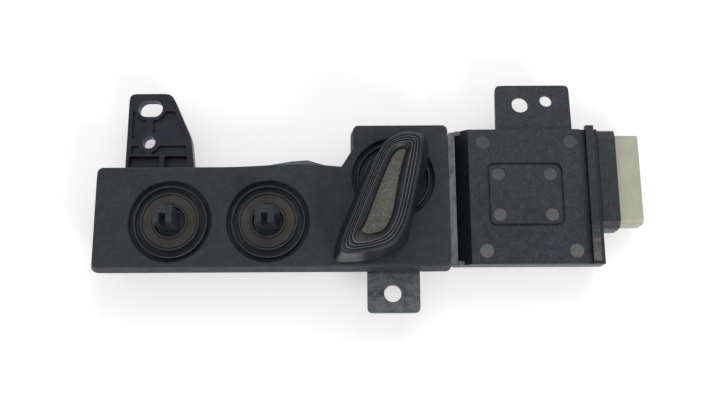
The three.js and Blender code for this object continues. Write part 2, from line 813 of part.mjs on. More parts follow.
function moduleCover() {
  const right = lidLeft + moduleLength;
  const rear = moduleRear;
  const side = new THREE.Shape();
  side.moveTo(lidLeft, ledgeTop);
  side.lineTo(lidLeft + rampRun, lidTop);
  side.lineTo(right, lidTop);
  side.lineTo(right, lidFoot);
  side.lineTo(lidLeft + rampRun + 1, lidFoot);
  side.lineTo(lidLeft + rampRun - lidThickness, ledgeTop);
  side.closePath();
  const profile = new THREE.ExtrudeGeometry(side, { depth: moduleDepth, bevelEnabled: false });
  profile.rotateX(Math.PI / 2);
  profile.translate(0, rear, 0);
  const shellTop = cut(
    toSolid(profile),
    block(
      [lidLeft - overcut, moduleFront - overcut, 0],
      [lidLeft + rampRun + 2, moduleFront + wall + gap, lidFoot],
    ),
    block(
      [lidLeft - overcut, rear - wall - gap, 0],
      [lidLeft + rampRun + 2, rear + overcut, lidFoot],
    ),
  );
  const rimInset = wall + gap;
  const rimLeft = lidLeft + rampRun + 0.5;
  const rim = cut(
    block(
      [rimLeft, moduleFront + rimInset, lidFoot - rimDepth],
      [moduleRight - rimInset, rear - rimInset, lidFoot + lidThickness / 2],
    ),
    block(
      [rimLeft - overcut, moduleFront + rimInset + rimThickness, 0],
      [moduleRight - rimInset - rimThickness, rear - rimInset - rimThickness, lidFoot],
    ),
  );
  const ribRight = right - ribStepWidth;
  const endRib = block(
    [ribRight - endRibWidth, moduleFront + endRibFrontInset, lidFoot + lidThickness / 2],
    [ribRight, rear + endRibOverhang, lidTop + endRibRise],
  );
  const earTop = lidTop - earDrop;
  const earX = lidLeft + earLeft;
  const ear = roundedPlate(
    [
      [earX, rear - 2, 0],
      [earX + earWidth, rear - 2, 0],
      [earX + earWidth - 0.4, rear + earReach, fixingCornerRadius],
      [earX + 0.4, rear + earReach, fixingCornerRadius],
    ],
    earTop - earThickness,
    earTop,
  );
  const earGap = block(
    [earX - overcut, rear - 2 - overcut, earTop - earThickness - overcut],
    [earX + earWidth + overcut, rear + gap, lidFoot],
  );
  const bosses = lidScrews.map((place) => hangingBoss(place, lidFoot + lidThickness / 2));

  const padLeft = lidLeft + padLeftInset;
  const padFront = moduleFront + padFrontInset;
  const padRight = padLeft + padWidth;
  const padRear = padFront + padDepth;
  const pad = rectangle(padLeft, padFront, padRight, padRear, padCornerRadius);
  const groove = cut(
    roundedPlate(pad, lidTop - grooveDepth, lidTop + overcut),
    roundedPlate(inset(pad, grooveWidth), lidTop - overcut, lidTop + 2 * overcut),
  );
  const ribGroove = block(
    [ribRight - endRibWidth - ribGrooveWidth, moduleFront - overcut, lidTop - grooveDepth],
    [ribRight - endRibWidth, rear + overcut, lidTop + overcut],
  );
  const ribStep = block(
    [ribRight, moduleFront - overcut, lidTop - ribStepDrop],
    [right + overcut, rear + overcut, lidTop + overcut],
  );

  // Air above the ramp, which keeps the screw bosses under it.
  const aboveRamp = new THREE.Shape();
  aboveRamp.moveTo(lidLeft - overcut, ledgeTop);
  aboveRamp.lineTo(lidLeft, ledgeTop);
  aboveRamp.lineTo(lidLeft + rampRun, lidTop);
  aboveRamp.lineTo(lidLeft - overcut, lidTop);
  aboveRamp.closePath();
  const rampAir = new THREE.ExtrudeGeometry(aboveRamp, { depth: moduleDepth, bevelEnabled: false });
  rampAir.rotateX(Math.PI / 2);
  rampAir.translate(0, rear, 0);
  const [markInsetX, markInsetY] = outerMarkInset;
  const outerMarks = [lidLeft + markInsetX, right - markInsetX].flatMap((x) => (
    [moduleFront + markInsetY, rear - markInsetY].map((y) => (
      roundMark(x, y, outerMarkRadius, lidTop)
    ))
  ));
  const innerMarks = [padLeft + innerMarkInset, padRight - innerMarkInset].flatMap((x) => (
    [padFront + innerMarkInset, padRear - innerMarkInset].map((y) => (
      roundMark(x, y, innerMarkRadius, lidTop)
    ))
  ));
  const earHoles = [
    [earBigHole, earBigHoleRadius],
    [earSmallHole, earSmallHoleRadius],
  ].map(([[x, y], radius]) => (
    bar(earX + x, rear + y, radius, earTop - earThickness - overcut, earTop + overcut, 24)
  ));
  return cut(
    join(shellTop, rim, endRib, cut(ear, earGap), ...bosses),
    toSolid(rampAir),
    groove,
    ribGroove,
    ribStep,
    ...outerMarks,
    ...innerMarks,
    ...earHoles,
    ...lidScrews.map(screwPilot),
  );
}

// ================================================================ switch frame

const wells = [
  { x: frontStemX, y: stemY },
  { x: rearStemX, y: stemY },
  { x: reclinerX, y: reclinerY },
];
const frameWellRadius = wellRadius + 0.9 + gap;
const liftHoleRadius = stemFlangeRadius + Math.hypot(cushionTravel, liftTravel) + gap;

function bracket() {
  const rear = bodyDepth + bracketReach;
  const root = bodyDepth - frameInset - wall / 2;
  const right = bracketLeft + bracketRootWidth;
  const top = frameFoot + bracketThickness;
  const slotX = bracketLeft + bracketSlotX;
  const slotY = rear - bracketSlotInset;
  const holeY = rear - bracketHoleInset;
  const halfRun = (bracketSlotLength - bracketSlotWidth) / 2;
  const body = roundedPlate(
    [
      [bracketLeft, root, 0],
      [right, root, 0],
      [right - bracketTaper, bodyDepth + bracketShoulder, 2],
      [bracketLeft + bracketHeadWidth, rear, 2.4],
      [bracketLeft + 0.2, rear, 2.4],
    ],
    frameFoot,
    top,
  );
  const slotShape = (radius) => {
    const outline = new THREE.Shape();
    outline.absarc(slotX + halfRun, slotY, radius, -Math.PI / 2, Math.PI / 2);
    outline.absarc(slotX - halfRun, slotY, radius, Math.PI / 2, 1.5 * Math.PI);
    outline.closePath();
    return outline;
  };
  const slotRadius = bracketSlotWidth / 2;
  const slot = plate(slotShape(slotRadius), frameFoot - overcut, top + overcut, 8);
  const hole = bar(slotX, holeY, bracketHoleRadius, frameFoot - overcut, top + overcut, 20);
  const slotBoss = plate(slotShape(slotRadius + slotBossWall), frameFoot, top + 2 * overcut, 6);
  const holeBoss = bar(
    slotX,
    holeY,
    bracketHoleRadius + holeBossWall,
    frameFoot,
    top + 2 * overcut,
    20,
  );

  // Pockets sunk from above, parted by the spine, the cross rib and the thin rib.
  const pocketLeft = bracketLeft + bracketRim;
  const spineLeft = slotX - bracketSpine / 2;
  const spineRight = slotX + bracketSpine / 2;
  const upperRear = rear - pocketInset;
  const upperFront = holeY + bracketCrossRib / 2;
  const lowerRear = holeY - bracketCrossRib / 2;
  const lowerFront = lowerRear - lowerPocketWidth;
  const slantRun = right - bracketTaper - bracketLeft - bracketHeadWidth;
  const slantRise = rear - bodyDepth - bracketShoulder;
  const slantEdge = (y) => (
    right - bracketTaper - slantRun * (y - bodyDepth - bracketShoulder) / slantRise
  );
  const pockets = [
    rectangle(pocketLeft, upperFront, spineLeft, upperRear, 0.6),
    [
      [spineRight, upperFront, 0.6],
      [slantEdge(upperFront) - bracketRim, upperFront, 0.6],
      [slantEdge(upperRear) - bracketRim, upperRear, 0.6],
      [spineRight, upperRear, 0.6],
    ],
    rectangle(pocketLeft, lowerFront, spineLeft, lowerRear, 0.6),
    rectangle(spineRight, lowerFront, right - bracketTaper - bracketRim, lowerRear, 0.6),
  ].map((corners) => cut(
    roundedPlate(corners, top - pocketDepth, top + overcut),
    slotBoss,
    holeBoss,
  ));
  const rootFront = bodyDepth + rootPocketInset;
  const rootRear = lowerFront - bracketThinRib;
  const ribLeft = bracketLeft + rootRibLeft;
  const rootPockets = [
    rectangle(pocketLeft - 0.6, rootFront, ribLeft, rootRear, 0.5),
    rectangle(ribLeft + rootRibWidth, rootFront, right - rootRimRight, rootRear, 0.5),
  ].map((corners) => roundedPlate(corners, top - rootPocketDepth, top + overcut));
  return cut(body, slot, hole, ...pockets, ...rootPockets);
}

function switchFrame() {
  const outside = roundedPlate(inset(coverCorners, frameInset), frameFoot, frameTop);
  const room = roundedPlate(inset(coverCorners, frameInset + wall), frameFoot - overcut, deckFoot);
  const box = cut(outside, room);
  const envelope = roundedPlate(inset(coverCorners, frameInset + wall / 2), cupFloorFoot, frameTop);
  const cupOuterRadius = frameWellRadius + cupWall;
  const cups = wells.map(({ x, y }) => (
    bar(x, y, cupOuterRadius, cupFloorFoot, frameTop, 28).intersect(envelope)
  ));
  const bearing = bar(reclinerX, reclinerY, bearingRadius + gap + bearingWall, bearingFoot, webTop - 2);
  const bosses = frameScrews.map((place) => hangingBoss(place, deckFoot + frameDeck / 2));
  const springStop = block(
    [sliderRight + 2 * gap + sliderSpringLength, stemY - 3, bossSplit + 1],
    [sliderRight + 2 * gap + sliderSpringLength + wall, stemY + 3, deckFoot + frameDeck / 2],
  );
  const wellCuts = wells.map(({ x, y }) => (
    bar(x, y, frameWellRadius, cupFloorTop, frameTop + overcut, 28)
  ));
  const liftHoles = wells.slice(0, 2).map(({ x, y }) => (
    bar(x, y, liftHoleRadius, cupFloorFoot - overcut, frameTop, 20)
  ));
  const bearingHole = bar(
    reclinerX,
    reclinerY,
    bearingRadius + gap,
    bearingFoot - overcut,
    frameTop,
    20,
  );
  const tabNotch = block(
    [tabLeft - gap, -overcut, frameFoot - overcut],
    [tabLeft + tabWidth + gap, frameInset + wall + overcut, tabFoot + tabThickness + gap],
  );
  const cableWay = block(
    [coverLength - frameInset - wall - overcut, frameInset + wall, frameFoot - overcut],
    [coverLength, blockDepth - frameInset - wall, sliderFoot],
  );
  return cut(
    join(box, ...cups, bearing, ...bosses, springStop, bracket()),
    ...wellCuts,
    ...liftHoles,
    bearingHole,
    tabNotch,
    cableWay,
    ...frameScrews.map(screwPilot),
  );
}

// ================================================================ rubber cover

function rubberCover() {
  const foot = coverTop - coverSkirt;
  const outside = roundedPlate(coverCorners, foot, coverTop);
  const room = roundedPlate(inset(coverCorners, rubberWall), foot - overcut, coverTop - rubberTop);
  const envelope = roundedPlate(inset(coverCorners, rubberWall / 2), webTop - webThickness, coverTop);
  const cups = wells.map(({ x, y }) => (
    bar(x, y, wellRadius + 0.9, webTop - webThickness, coverTop, 28).intersect(envelope)
  ));
  const wellCuts = wells.map(({ x, y }) => bar(x, y, wellRadius, webTop, coverTop + overcut, 28));
  const webHoles = wells.map(({ x, y }) => (
    bar(x, y, webHoleRadius, webTop - webThickness - overcut, webTop + overcut, 20)
  ));
  const ridges = wells.map(({ x, y }) => tube(
    x,
    y,
    ridgeRadius - ridgeWidth / 2,
    ridgeRadius + ridgeWidth / 2,
    webTop - webThickness / 2,
    ridgeTop,
    28,
  ));
  return join(cut(join(cut(outside, room), ...cups), ...wellCuts, ...webHoles), ...ridges);
}

// A rubber boot: a flat ring with a turned-down edge and a raised lip around the stem.
function boot(x, y) {
  const lipRadius = stemHubRadius + gap;
  const foot = webTop + gap;
  const profile = [
    [lipRadius, bootTop - bootWall],
    [bootRadius - bootWall, bootTop - bootWall],
    [bootRadius - bootWall, foot],
    [bootRadius, foot],
    [bootRadius, bootTop],
    [lipRadius + bootLipWidth, bootTop],
    [lipRadius + bootLipWidth, bootTop + bootLipRise],
    [lipRadius, bootTop + bootLipRise],
    [lipRadius, bootTop - bootWall],
  ].map(([radius, z]) => new THREE.Vector2(radius, z));
  const geometry = new THREE.LatheGeometry(profile, 24);
  geometry.rotateX(Math.PI / 2);
  geometry.translate(x, y, 0);
  return toSolid(geometry);
}

// ================================================================ cushion switch mechanism

function cushionSlider() {
  const body = roundedPlate(
    rectangle(sliderLeft, shellInset, sliderRight, bodyDepth - shellInset, 1),
    sliderFoot,
    sliderTop,
  );
  const slots = [frontStemX, rearStemX].map((x) => post(
    x,
    stemY,
    stemNeck + 2 * gap,
    stemNeck + 2 * (liftTravel + gap),
    sliderFoot - overcut,
    sliderTop + overcut,
  ));
  const lugFoot = sliderSpringZ - sliderSpringRadius - 0.4;
  const lugs = [sliderLeft, sliderRight - sliderLug].map((x) => block(
    [x, stemY - 3, lugFoot],
    [x + sliderLug, stemY + 3, sliderFoot + sliderThickness / 2],
  ));
  const pegs = springBends.map(({ pegX }) => (
    bar(pegX, stemY, 1.2, returnSpringFoot, sliderFoot + 1, 10)
  ));
  return join(cut(body, ...slots), ...lugs, ...pegs);
}

const sliderSpringZ = sliderFoot - 3.2;
const returnSpringWire = 0.6;
const returnSpringFoot = footTop - returnSpringWire - 0.7;
const returnSpringHalf = footDepth / 2 + gap + returnSpringWire / 2;
const pegReach = returnSpringReach + returnSpringHalf - returnSpringWire / 2 - gap - 1.2;
const springBends = [
  { stemX: frontStemX, side: 1, pegX: frontStemX + pegReach },
  { stemX: rearStemX, side: -1, pegX: rearStemX - pegReach },
];

// A compression spring lying along X.
function sliderSpring(left) {
  const turns = 4;
  const steps = 32;
  const run = sliderSpringLength - springWire;
  const radius = sliderSpringRadius - springWire / 2;
  const points = Array.from({ length: steps + 1 }, (_, index) => {
    const angle = (index / steps) * turns * 2 * Math.PI;
    return new THREE.Vector3(
      left + springWire / 2 + (index / steps) * run,
      stemY + radius * Math.cos(angle),
      sliderSpringZ + radius * Math.sin(angle),
    );
  });
  return wire(points, springWire, steps, 5);
}

// A hairpin wire that hugs the magnet carrier and bends around the slider's peg.
function returnSpring({ stemX, side }) {
  const z = returnSpringFoot + returnSpringWire / 2 + 0.2;
  const openEnd = stemX - side * (footLength / 2 - 1);
  const bend = stemX + side * returnSpringReach;
  const arcSteps = 8;
  const arc = Array.from({ length: arcSteps + 1 }, (_, index) => {
    const angle = -Math.PI / 2 + (index / arcSteps) * Math.PI;
    return new THREE.Vector3(
      bend + side * returnSpringHalf * Math.cos(angle),
      stemY + returnSpringHalf * Math.sin(angle),
      z,
    );
  });
  const points = [
    new THREE.Vector3(openEnd, stemY - returnSpringHalf, z),
    new THREE.Vector3((openEnd + bend) / 2, stemY - returnSpringHalf, z),
    ...arc,
    new THREE.Vector3((openEnd + bend) / 2, stemY + returnSpringHalf, z),
    new THREE.Vector3(openEnd, stemY + returnSpringHalf, z),
  ];
  return wire(points, returnSpringWire, 22, 5);
}

function cushionStem(x, lugSide) {
  const flange = bar(x, stemY, stemFlangeRadius, cupFloorFoot, cupFloorFoot + stemFlange, 20);
  const hub = bar(x, stemY, stemHubRadius, cupFloorFoot + stemFlange / 2, hubTop, 20);
  const neck = post(x, stemY, stemNeck, stemNeck, footTop + gap, cupFloorFoot + stemFlange / 2);
  const tenon = post(x, stemY, stemTenon, stemTenon, footTop - 2, cupFloorFoot);
  const tower = post(x, stemY, postWidth, postDepth, hubTop - 1, stemTop);
  const towerSlot = block(
    [x - postSlotWidth / 2, stemY - postDepth / 2 - overcut, stemTop - postSlotDrop],
    [x + postSlotWidth / 2, stemY - postDepth / 2 + postSlotDepth, stemTop + overcut],
  );
  const lugInner = x + lugSide * (postWidth / 2 - 0.2);
  const lugOuter = x + lugSide * (postWidth / 2 + postLugWidth);
  const lugRear = stemY + postDepth / 2 - 0.3;
  const lug = block(
    [Math.min(lugInner, lugOuter), lugRear - postLugDepth, hubTop - 1],
    [Math.max(lugInner, lugOuter), lugRear, stemTop - postLugDrop],
  );
  return join(flange, hub, neck, tenon, cut(tower, towerSlot), lug);
}

function magnetCup(x, y, plateFoot) {
  const outerRadius = magnetRadius + gap + magnetCupWall;
  return tube(x, y, magnetRadius + gap, outerRadius, magnetFoot + 0.4, plateFoot + 0.5, 16);
}

function cushionMagnetCarrier(x) {
  const plateFoot = magnetTop + gap;
  const body = post(x, stemY, footLength, footDepth, plateFoot, footTop);
  const socket = post(
    x,
    stemY,
    stemTenon + 2 * gap,
    stemTenon + 2 * gap,
    footTop - 2 - gap,
    footTop + overcut,
  );
  return join(cut(body, socket), magnetCup(x, stemY, plateFoot));
}

function magnetDisc(x, y) {
  return bar(x, y, magnetRadius, magnetFoot, magnetTop, 16);
}

// ================================================================ recliner switch mechanism

const carrierTop = bearingFoot - gap;
const carrierThickness = 2.3;

function reclinerStem() {
  const x = reclinerX;
  const y = reclinerY;
  const flangeFoot = cupFloorTop + gap;
  const flange = bar(x, y, stemFlangeRadius, flangeFoot, flangeFoot + 1, 20);
  const journal = bar(x, y, bearingRadius, bearingFoot, hubTop, 20);
  const shaft = post(x, y, reclinerShaft, reclinerShaft, carrierTop - carrierThickness, hubTop);
  const tower = post(x, y, reclinerPost, reclinerPost, hubTop - 1, reclinerPostTop);
  return join(flange, journal, shaft, tower);
}

function reclinerMagnetCarrier() {
  const x = reclinerX;
  const y = reclinerY;
  const plateFoot = carrierTop - carrierThickness;
  const eye = bar(x, y, 7, plateFoot, carrierTop, 20);
  const arm = block([x - 4, y - reclinerArm, plateFoot], [x + 4, y, carrierTop]);
  const tip = bar(x, y - reclinerArm, magnetRadius + gap + magnetCupWall, plateFoot, carrierTop, 16);
  const hole = post(
    x,
    y,
    reclinerShaft + 2 * gap,
    reclinerShaft + 2 * gap,
    plateFoot - overcut,
    carrierTop + overcut,
  );
  const cup = magnetCup(x, y - reclinerArm, plateFoot);
  const body = join(eye, arm, tip, cup);
  const pocket = bar(x, y - reclinerArm, magnetRadius + gap, magnetFoot - overcut, magnetTop + gap);
  const peg = bar(x, y + reclinerPegReach, 1, plateFoot, bearingFoot + 1.3, 12);
  const pegArm = block([x - 1.5, y, plateFoot], [x + 1.5, y + reclinerPegReach, carrierTop]);
  return cut(join(body, pegArm, peg), hole, pocket);
}

const reclinerPegReach = 11;

// A torsion spring around the bearing, its two legs either side of the carrier's peg.
function reclinerSpring() {
  const radius = bearingRadius + gap + bearingWall + gap + springWire / 2;
  const low = bearingFoot + gap + springWire / 2 - 0.2;
  const high = low + springWire + 0.25;
  const legOffset = 1 + gap + springWire / 2;
  const legAngle = legOffset / radius;
  const start = Math.PI / 2 - legAngle;
  const sweep = 2 * Math.PI - 2 * legAngle;
  const coilSteps = 20;
  const coil = Array.from({ length: coilSteps + 1 }, (_, index) => {
    const angle = start - (index / coilSteps) * sweep;
    return new THREE.Vector3(
      reclinerX + radius * Math.cos(angle),
      reclinerY + radius * Math.sin(angle),
      low + (index / coilSteps) * (high - low),
    );
  });
  const legEnd = reclinerY + reclinerPegReach + 1.6;
  const points = [
    new THREE.Vector3(reclinerX + legOffset, legEnd, low),
    new THREE.Vector3(reclinerX + legOffset, (legEnd + reclinerY + radius) / 2, low),
    ...coil,
    new THREE.Vector3(reclinerX - legOffset, (legEnd + reclinerY + radius) / 2, high),
    new THREE.Vector3(reclinerX - legOffset, legEnd, high),
  ];
  return wire(points, springWire, 34, 5);
}

// ================================================================ recliner knob

const knobRings = {
  base: smoothRing(knobBaseRing),
  rim: smoothRing(knobRimRing),
  dish: smoothRing(knobDishRing),
  insert: smoothRing(knobInsertRing),
};

function knobShell() {
  const { base, rim, dish, insert } = knobRings;
  const rimFoot = knobTop - 0.8;
  const outside = loft([
    { ring: base, z: knobFoot },
    { ring: rim, z: rimFoot },
    { ring: shrinkRing(rim, 0.6), z: knobTop },
  ]);
  const insertFoot = knobInsertTop - knobInsertThickness - gap;
  const roofFoot = insertFoot - knobRoof;
  const roofShare = (roofFoot - knobFoot) / (rimFoot - knobFoot);
  const hollow = loft([
    { ring: shrinkRing(base, knobWall), z: knobFoot - overcut },
    { ring: shrinkRing(base, knobWall), z: knobFoot },
    { ring: shrinkRing(ringBetween(base, rim, roofShare), knobWall), z: roofFoot },
  ]);
  const dishCut = loft([
    { ring: insert, z: knobInsertTop - 0.4 },
    { ring: dish, z: knobTop },
    { ring: dish, z: knobTop + overcut },
  ]);
  const pocket = loft([
    { ring: shrinkRing(insert, -gap), z: insertFoot },
    { ring: shrinkRing(insert, -gap), z: knobInsertTop },
  ]);
  const socket = bar(0, 0, knobSocketRadius, knobFoot + gap, roofFoot + knobRoof / 2, 20);
  const socketHole = post(
    0,
    0,
    reclinerPost + 2 * gap,
    reclinerPost + 2 * gap,
    knobFoot - overcut,
    reclinerPostTop + gap,
  );
  return cut(join(cut(outside, hollow), socket), dishCut, pocket, socketHole);
}

function knobInsert() {
  return loft([
    { ring: knobRings.insert, z: knobInsertTop - knobInsertThickness },
    { ring: knobRings.insert, z: knobInsertTop },
  ]);
}

// An open spring ring that grips the knob's socket.
function knobClip() {
  const inner = knobSocketRadius + gap;
  const ring = tube(0, 0, inner, inner + knobClipWire, knobFoot + 1.5, knobFoot + 2.7, 24);
  return cut(ring, block([0, -1.5, knobFoot], [2 * inner, 1.5, knobFoot + 4]));
}

function atRecliner(solid) {
  return solid.translate([reclinerX, reclinerY, 0]);
}

// ================================================================ assembly

addPiece('rear_shell', 'greyNylon', rearShell());
addPiece('switch_frame', 'bluePlastic', switchFrame());
addPiece('rubber_cover', 'epdmRubber', rubberCover());
addPiece('module_cover', 'blackPlastic', moduleCover());
addPiece('connector_collar', 'blackPlastic', connectorCollar());
addPiece('connector_header', 'whiteNylon', connectorHeader());
pinPlaces.forEach((place, index) => {
  addPiece(`connector_pin_${index + 1}`, 'tinnedPin', connectorPin(place));
});

addPiece('main_board', 'boardGreen', mainBoard());
const moduleMiddleX = (lidLeft + moduleRight) / 2;
addPiece('microcontroller', 'chipBlack', boardPart(moduleMiddleX - 7, stemY + 6, 10, 10, 1.4));
addPiece('voltage_regulator', 'chipBlack', boardPart(moduleMiddleX + 3, stemY + 6, 6.5, 6, 2.3));
addPiece('hall_sensor_front', 'chipBlack', boardPart(frontStemX, stemY, 4, 3, sensorThickness));
addPiece('hall_sensor_rear', 'chipBlack', boardPart(rearStemX, stemY, 4, 3, sensorThickness));
addPiece(
  'hall_sensor_recliner',
  'chipBlack',
  boardPart(reclinerX, reclinerY - reclinerArm, 4, 3, sensorThickness),
);
[moduleMiddleX + 1, moduleMiddleX + 9].forEach((x, index) => {
  const can = bar(x, stemY - 3, 3.2, sensorFoot, sensorFoot + 5.5, 14);
  addPiece(`capacitor_${index + 1}`, 'capacitorCan', can);
});

addPiece('cushion_slider', 'whiteAcetal', cushionSlider());
addPiece('slider_spring_left', 'springSteel', sliderSpring(sliderLeft - gap - sliderSpringLength));
addPiece('slider_spring_right', 'springSteel', sliderSpring(sliderRight + gap));
[['front', frontStemX, -1], ['rear', rearStemX, 1]].forEach(([name, x, lugSide], index) => {
  addPiece(`${name}_stem`, 'blackPlastic', cushionStem(x, lugSide));
  addPiece(`${name}_boot`, 'epdmRubber', boot(x, stemY));
  addPiece(`${name}_magnet_carrier`, 'whiteAcetal', cushionMagnetCarrier(x));
  addPiece(`${name}_magnet`, 'magnet', magnetDisc(x, stemY));
  addPiece(`${name}_return_spring`, 'springSteel', returnSpring(springBends[index]));
});

addPiece('recliner_stem', 'blackPlastic', reclinerStem());
addPiece('recliner_boot', 'epdmRubber', boot(reclinerX, reclinerY));
addPiece('recliner_magnet_carrier', 'whiteAcetal', reclinerMagnetCarrier());
addPiece('recliner_magnet', 'magnet', magnetDisc(reclinerX, reclinerY - reclinerArm));
addPiece('recliner_spring', 'springSteel', reclinerSpring());
addPiece('knob_shell', 'blackPlastic', atRecliner(knobShell()));
addPiece('knob_insert', 'knobInsert', atRecliner(knobInsert()));
addPiece('knob_clip', 'springSteel', atRecliner(knobClip()));

// The finished pack stands over the origin.
const footprint = new THREE.Box3().setFromObject(assembly);
const middle = footprint.getCenter(new THREE.Vector3());
assembly.position.set(-middle.x, -middle.y, -footprint.min.z);

export default assembly;
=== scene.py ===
"""Looks of the seat adjuster switch pack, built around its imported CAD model."""

import json
import math

import bpy
import numpy as np
from bpy.props import FloatProperty, FloatVectorProperty, IntProperty, PointerProperty
from mathutils import Matrix, Vector


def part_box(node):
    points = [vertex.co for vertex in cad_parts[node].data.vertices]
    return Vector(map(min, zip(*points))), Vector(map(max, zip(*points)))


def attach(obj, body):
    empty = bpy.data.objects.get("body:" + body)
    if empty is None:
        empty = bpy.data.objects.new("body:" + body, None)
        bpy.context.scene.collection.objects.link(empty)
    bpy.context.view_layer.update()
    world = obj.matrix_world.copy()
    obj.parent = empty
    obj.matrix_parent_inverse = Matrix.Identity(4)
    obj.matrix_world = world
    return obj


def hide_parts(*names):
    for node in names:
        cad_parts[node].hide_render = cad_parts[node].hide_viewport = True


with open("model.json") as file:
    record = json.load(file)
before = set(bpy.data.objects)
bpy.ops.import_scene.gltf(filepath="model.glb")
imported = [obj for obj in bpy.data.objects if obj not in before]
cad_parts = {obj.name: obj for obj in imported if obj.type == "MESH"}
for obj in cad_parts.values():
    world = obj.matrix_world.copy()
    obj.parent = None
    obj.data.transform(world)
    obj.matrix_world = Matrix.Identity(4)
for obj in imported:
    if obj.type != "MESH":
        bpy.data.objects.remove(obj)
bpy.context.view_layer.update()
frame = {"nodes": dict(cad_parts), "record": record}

bl_info = {
    "name": "Seat Switch Pack",
    "version": (1, 0, 0),
    "blender": (4, 5, 0),
    "location": "View3D > Sidebar > Switch Pack",
    "description": "Builds the rubber skin, boots, knob, finishes and stage of a seat switch pack",
    "category": "Add Mesh",
}

MM = 0.001
BOOTS = ("front_boot", "rear_boot", "recliner_boot")


# ---------------------------------------------------------------- properties


def length(label, text, millimetres):
    """A size in metres, given in millimetres."""
    return FloatProperty(
        name=label,
        description=text,
        default=millimetres * MM,
        min=0.0,
        subtype="DISTANCE",
        unit="LENGTH",
    )


def colour(label, text, values):
    """A linear colour."""
    return FloatVectorProperty(
        name=label, description=text, default=values, size=3, min=0.0, max=1.0, subtype="COLOR"
    )


def angle(label, text, degrees):
    """An angle, given in degrees."""
    return FloatProperty(
        name=label,
        description=text,
        default=math.radians(degrees),
        subtype="ANGLE",
        unit="ROTATION",
    )


def amount(label, text, value, unit="NONE"):
    """A plain number."""
    return FloatProperty(name=label, description=text, default=value, unit=unit)


class SkinSizes(bpy.types.PropertyGroup):
    """Sizes of the rubber skin."""

    body_depth: length("Body depth", "Depth of the narrow part with the cushion switches", 34.8)
    block_length: length("Block length", "Length of the deep part with the recliner switch", 32.8)
    step_run: length("Step run", "Length of the slanted shoulder along the pack", 3.9)
    step_rise: length("Step rise", "Depth of the slanted shoulder across the pack", 6.4)
    corner_radius: length("Corner radius", "Upright corners in plan", 1.8)
    step_radius: length("Shoulder radius", "Corners of the slanted shoulder in plan", 1.0)
    edge_radius: length("Edge radius", "Rounding along the top edge", 0.9)
    thickness: length("Thickness", "Rubber thickness at the sides", 1.1)
    top_thickness: length("Top thickness", "Rubber thickness on top", 1.3)
    left_flare: length("Left flare", "How far the left skirt leans out at its foot", 2.3)
    front_flare: length("Front flare", "How far the front skirt leans out at its foot", 0.8)
    rear_flare: length("Rear flare", "How far the rear skirt leans out at its foot", 0.5)
    block_flare: length("Block flare", "How far the block's left and rear skirts lean out", 0.9)
    right_flare: length("Right flare", "How far the right skirt leans out at its foot", 0.8)
    flare_reach: length("Flare reach", "Width of the margin that leans with the skirt", 3.0)
    bulge: length("Bulge", "How far the rear skirt swells near the block", 3.0)
    bulge_place: length("Bulge place", "Skin's left end to the fullest part of the bulge", 72.5)
    bulge_left: length("Bulge run left", "Swollen stretch left of its fullest part", 30.0)
    bulge_right: length("Bulge run right", "Swollen stretch right of its fullest part", 10.5)
    rear_bow: length("Rear bow", "How far the rear top edge bows out", 0.9)
    block_bow: length("Block bow", "How far the block's rear edge stands out", 0.4)
    end_fold: length("End fold", "Length of the sloping face at the left end", 10.5)
    end_drop: length("End drop", "How far the sloping face falls", 1.1)


class WellSizes(bpy.types.PropertyGroup):
    """Sizes of the wells and boots."""

    radius: length("Well radius", "Radius of the well's upright wall", 14.1)
    lip: length("Lip", "Rounding at the top of the well's wall", 0.45)
    floor_drop: length("Floor drop", "Depth of the well's floor below the skin", 3.0)
    web: length("Web", "Rubber left under the well's floor", 0.9)
    wall: length("Well wall", "Rubber around the well's upright wall", 0.75)
    ridge_radius: length("Ridge radius", "Radius of the ring between the grooves", 12.3)
    ridge_width: length("Ridge width", "Thickness of the ring at its foot", 0.95)
    ridge_drop: length("Ridge drop", "Depth of the ring's crest below the skin", 0.75)
    hole_radius: length("Hole radius", "Opening of the web around the stem", 8.0)
    bead_width: length("Bead width", "Width of the boot's raised outer bead", 0.62)
    bead_rise: length("Bead rise", "How far the beads stand above the boot's flat", 0.35)
    lip_width: length("Lip width", "Width of the boot's raised inner lip", 0.5)
    lip_rise: length("Lip rise", "How far the inner lip stands above the outer bead", 0.25)
    stem_hole: length("Stem hole", "Radius of the boot's hole for the stem", 5.3)
    groove_drop: length("Groove drop", "Depth of the grooves beside the boot's flat", 0.3)
    flat_width: length("Flat edge", "Outer edge of the boot to the middle of its flat", 2.6)
    boot_thickness: length("Boot thickness", "Rubber under the boot's flat", 0.9)
    skirt_width: length("Skirt width", "Thickness of the boot's outer skirt", 0.8)
    segments: IntProperty(name="Segments", description="Steps around a turned piece", default=144)


class KnobSizes(bpy.types.PropertyGroup):
    """Sizes of the recliner knob."""

    wall: length("Wall", "Wall of the hollow knob", 1.6)
    rim_radius: length("Rim radius", "Rounding of the knob's outer rim", 0.75)
    ridges: IntProperty(name="Ridges", description="Fine ribs around the dish", default=3)
    ridge_depth: length("Ridge depth", "Depth of the grooves between the fine ribs", 0.5)
    dish_drop: length("Dish drop", "Fall of the ribbed band towards the dish", 0.5)
    insert_crown: length("Insert crown", "Rise of the inlay's middle above its edge", 0.35)
    insert_gap: length("Insert gap", "Seam around the inlay", 0.2)
    socket_square: length("Socket square", "Side of the socket's square hole", 5.6)
    socket_wall: length("Socket wall", "Wall of the socket at its corners", 0.9)


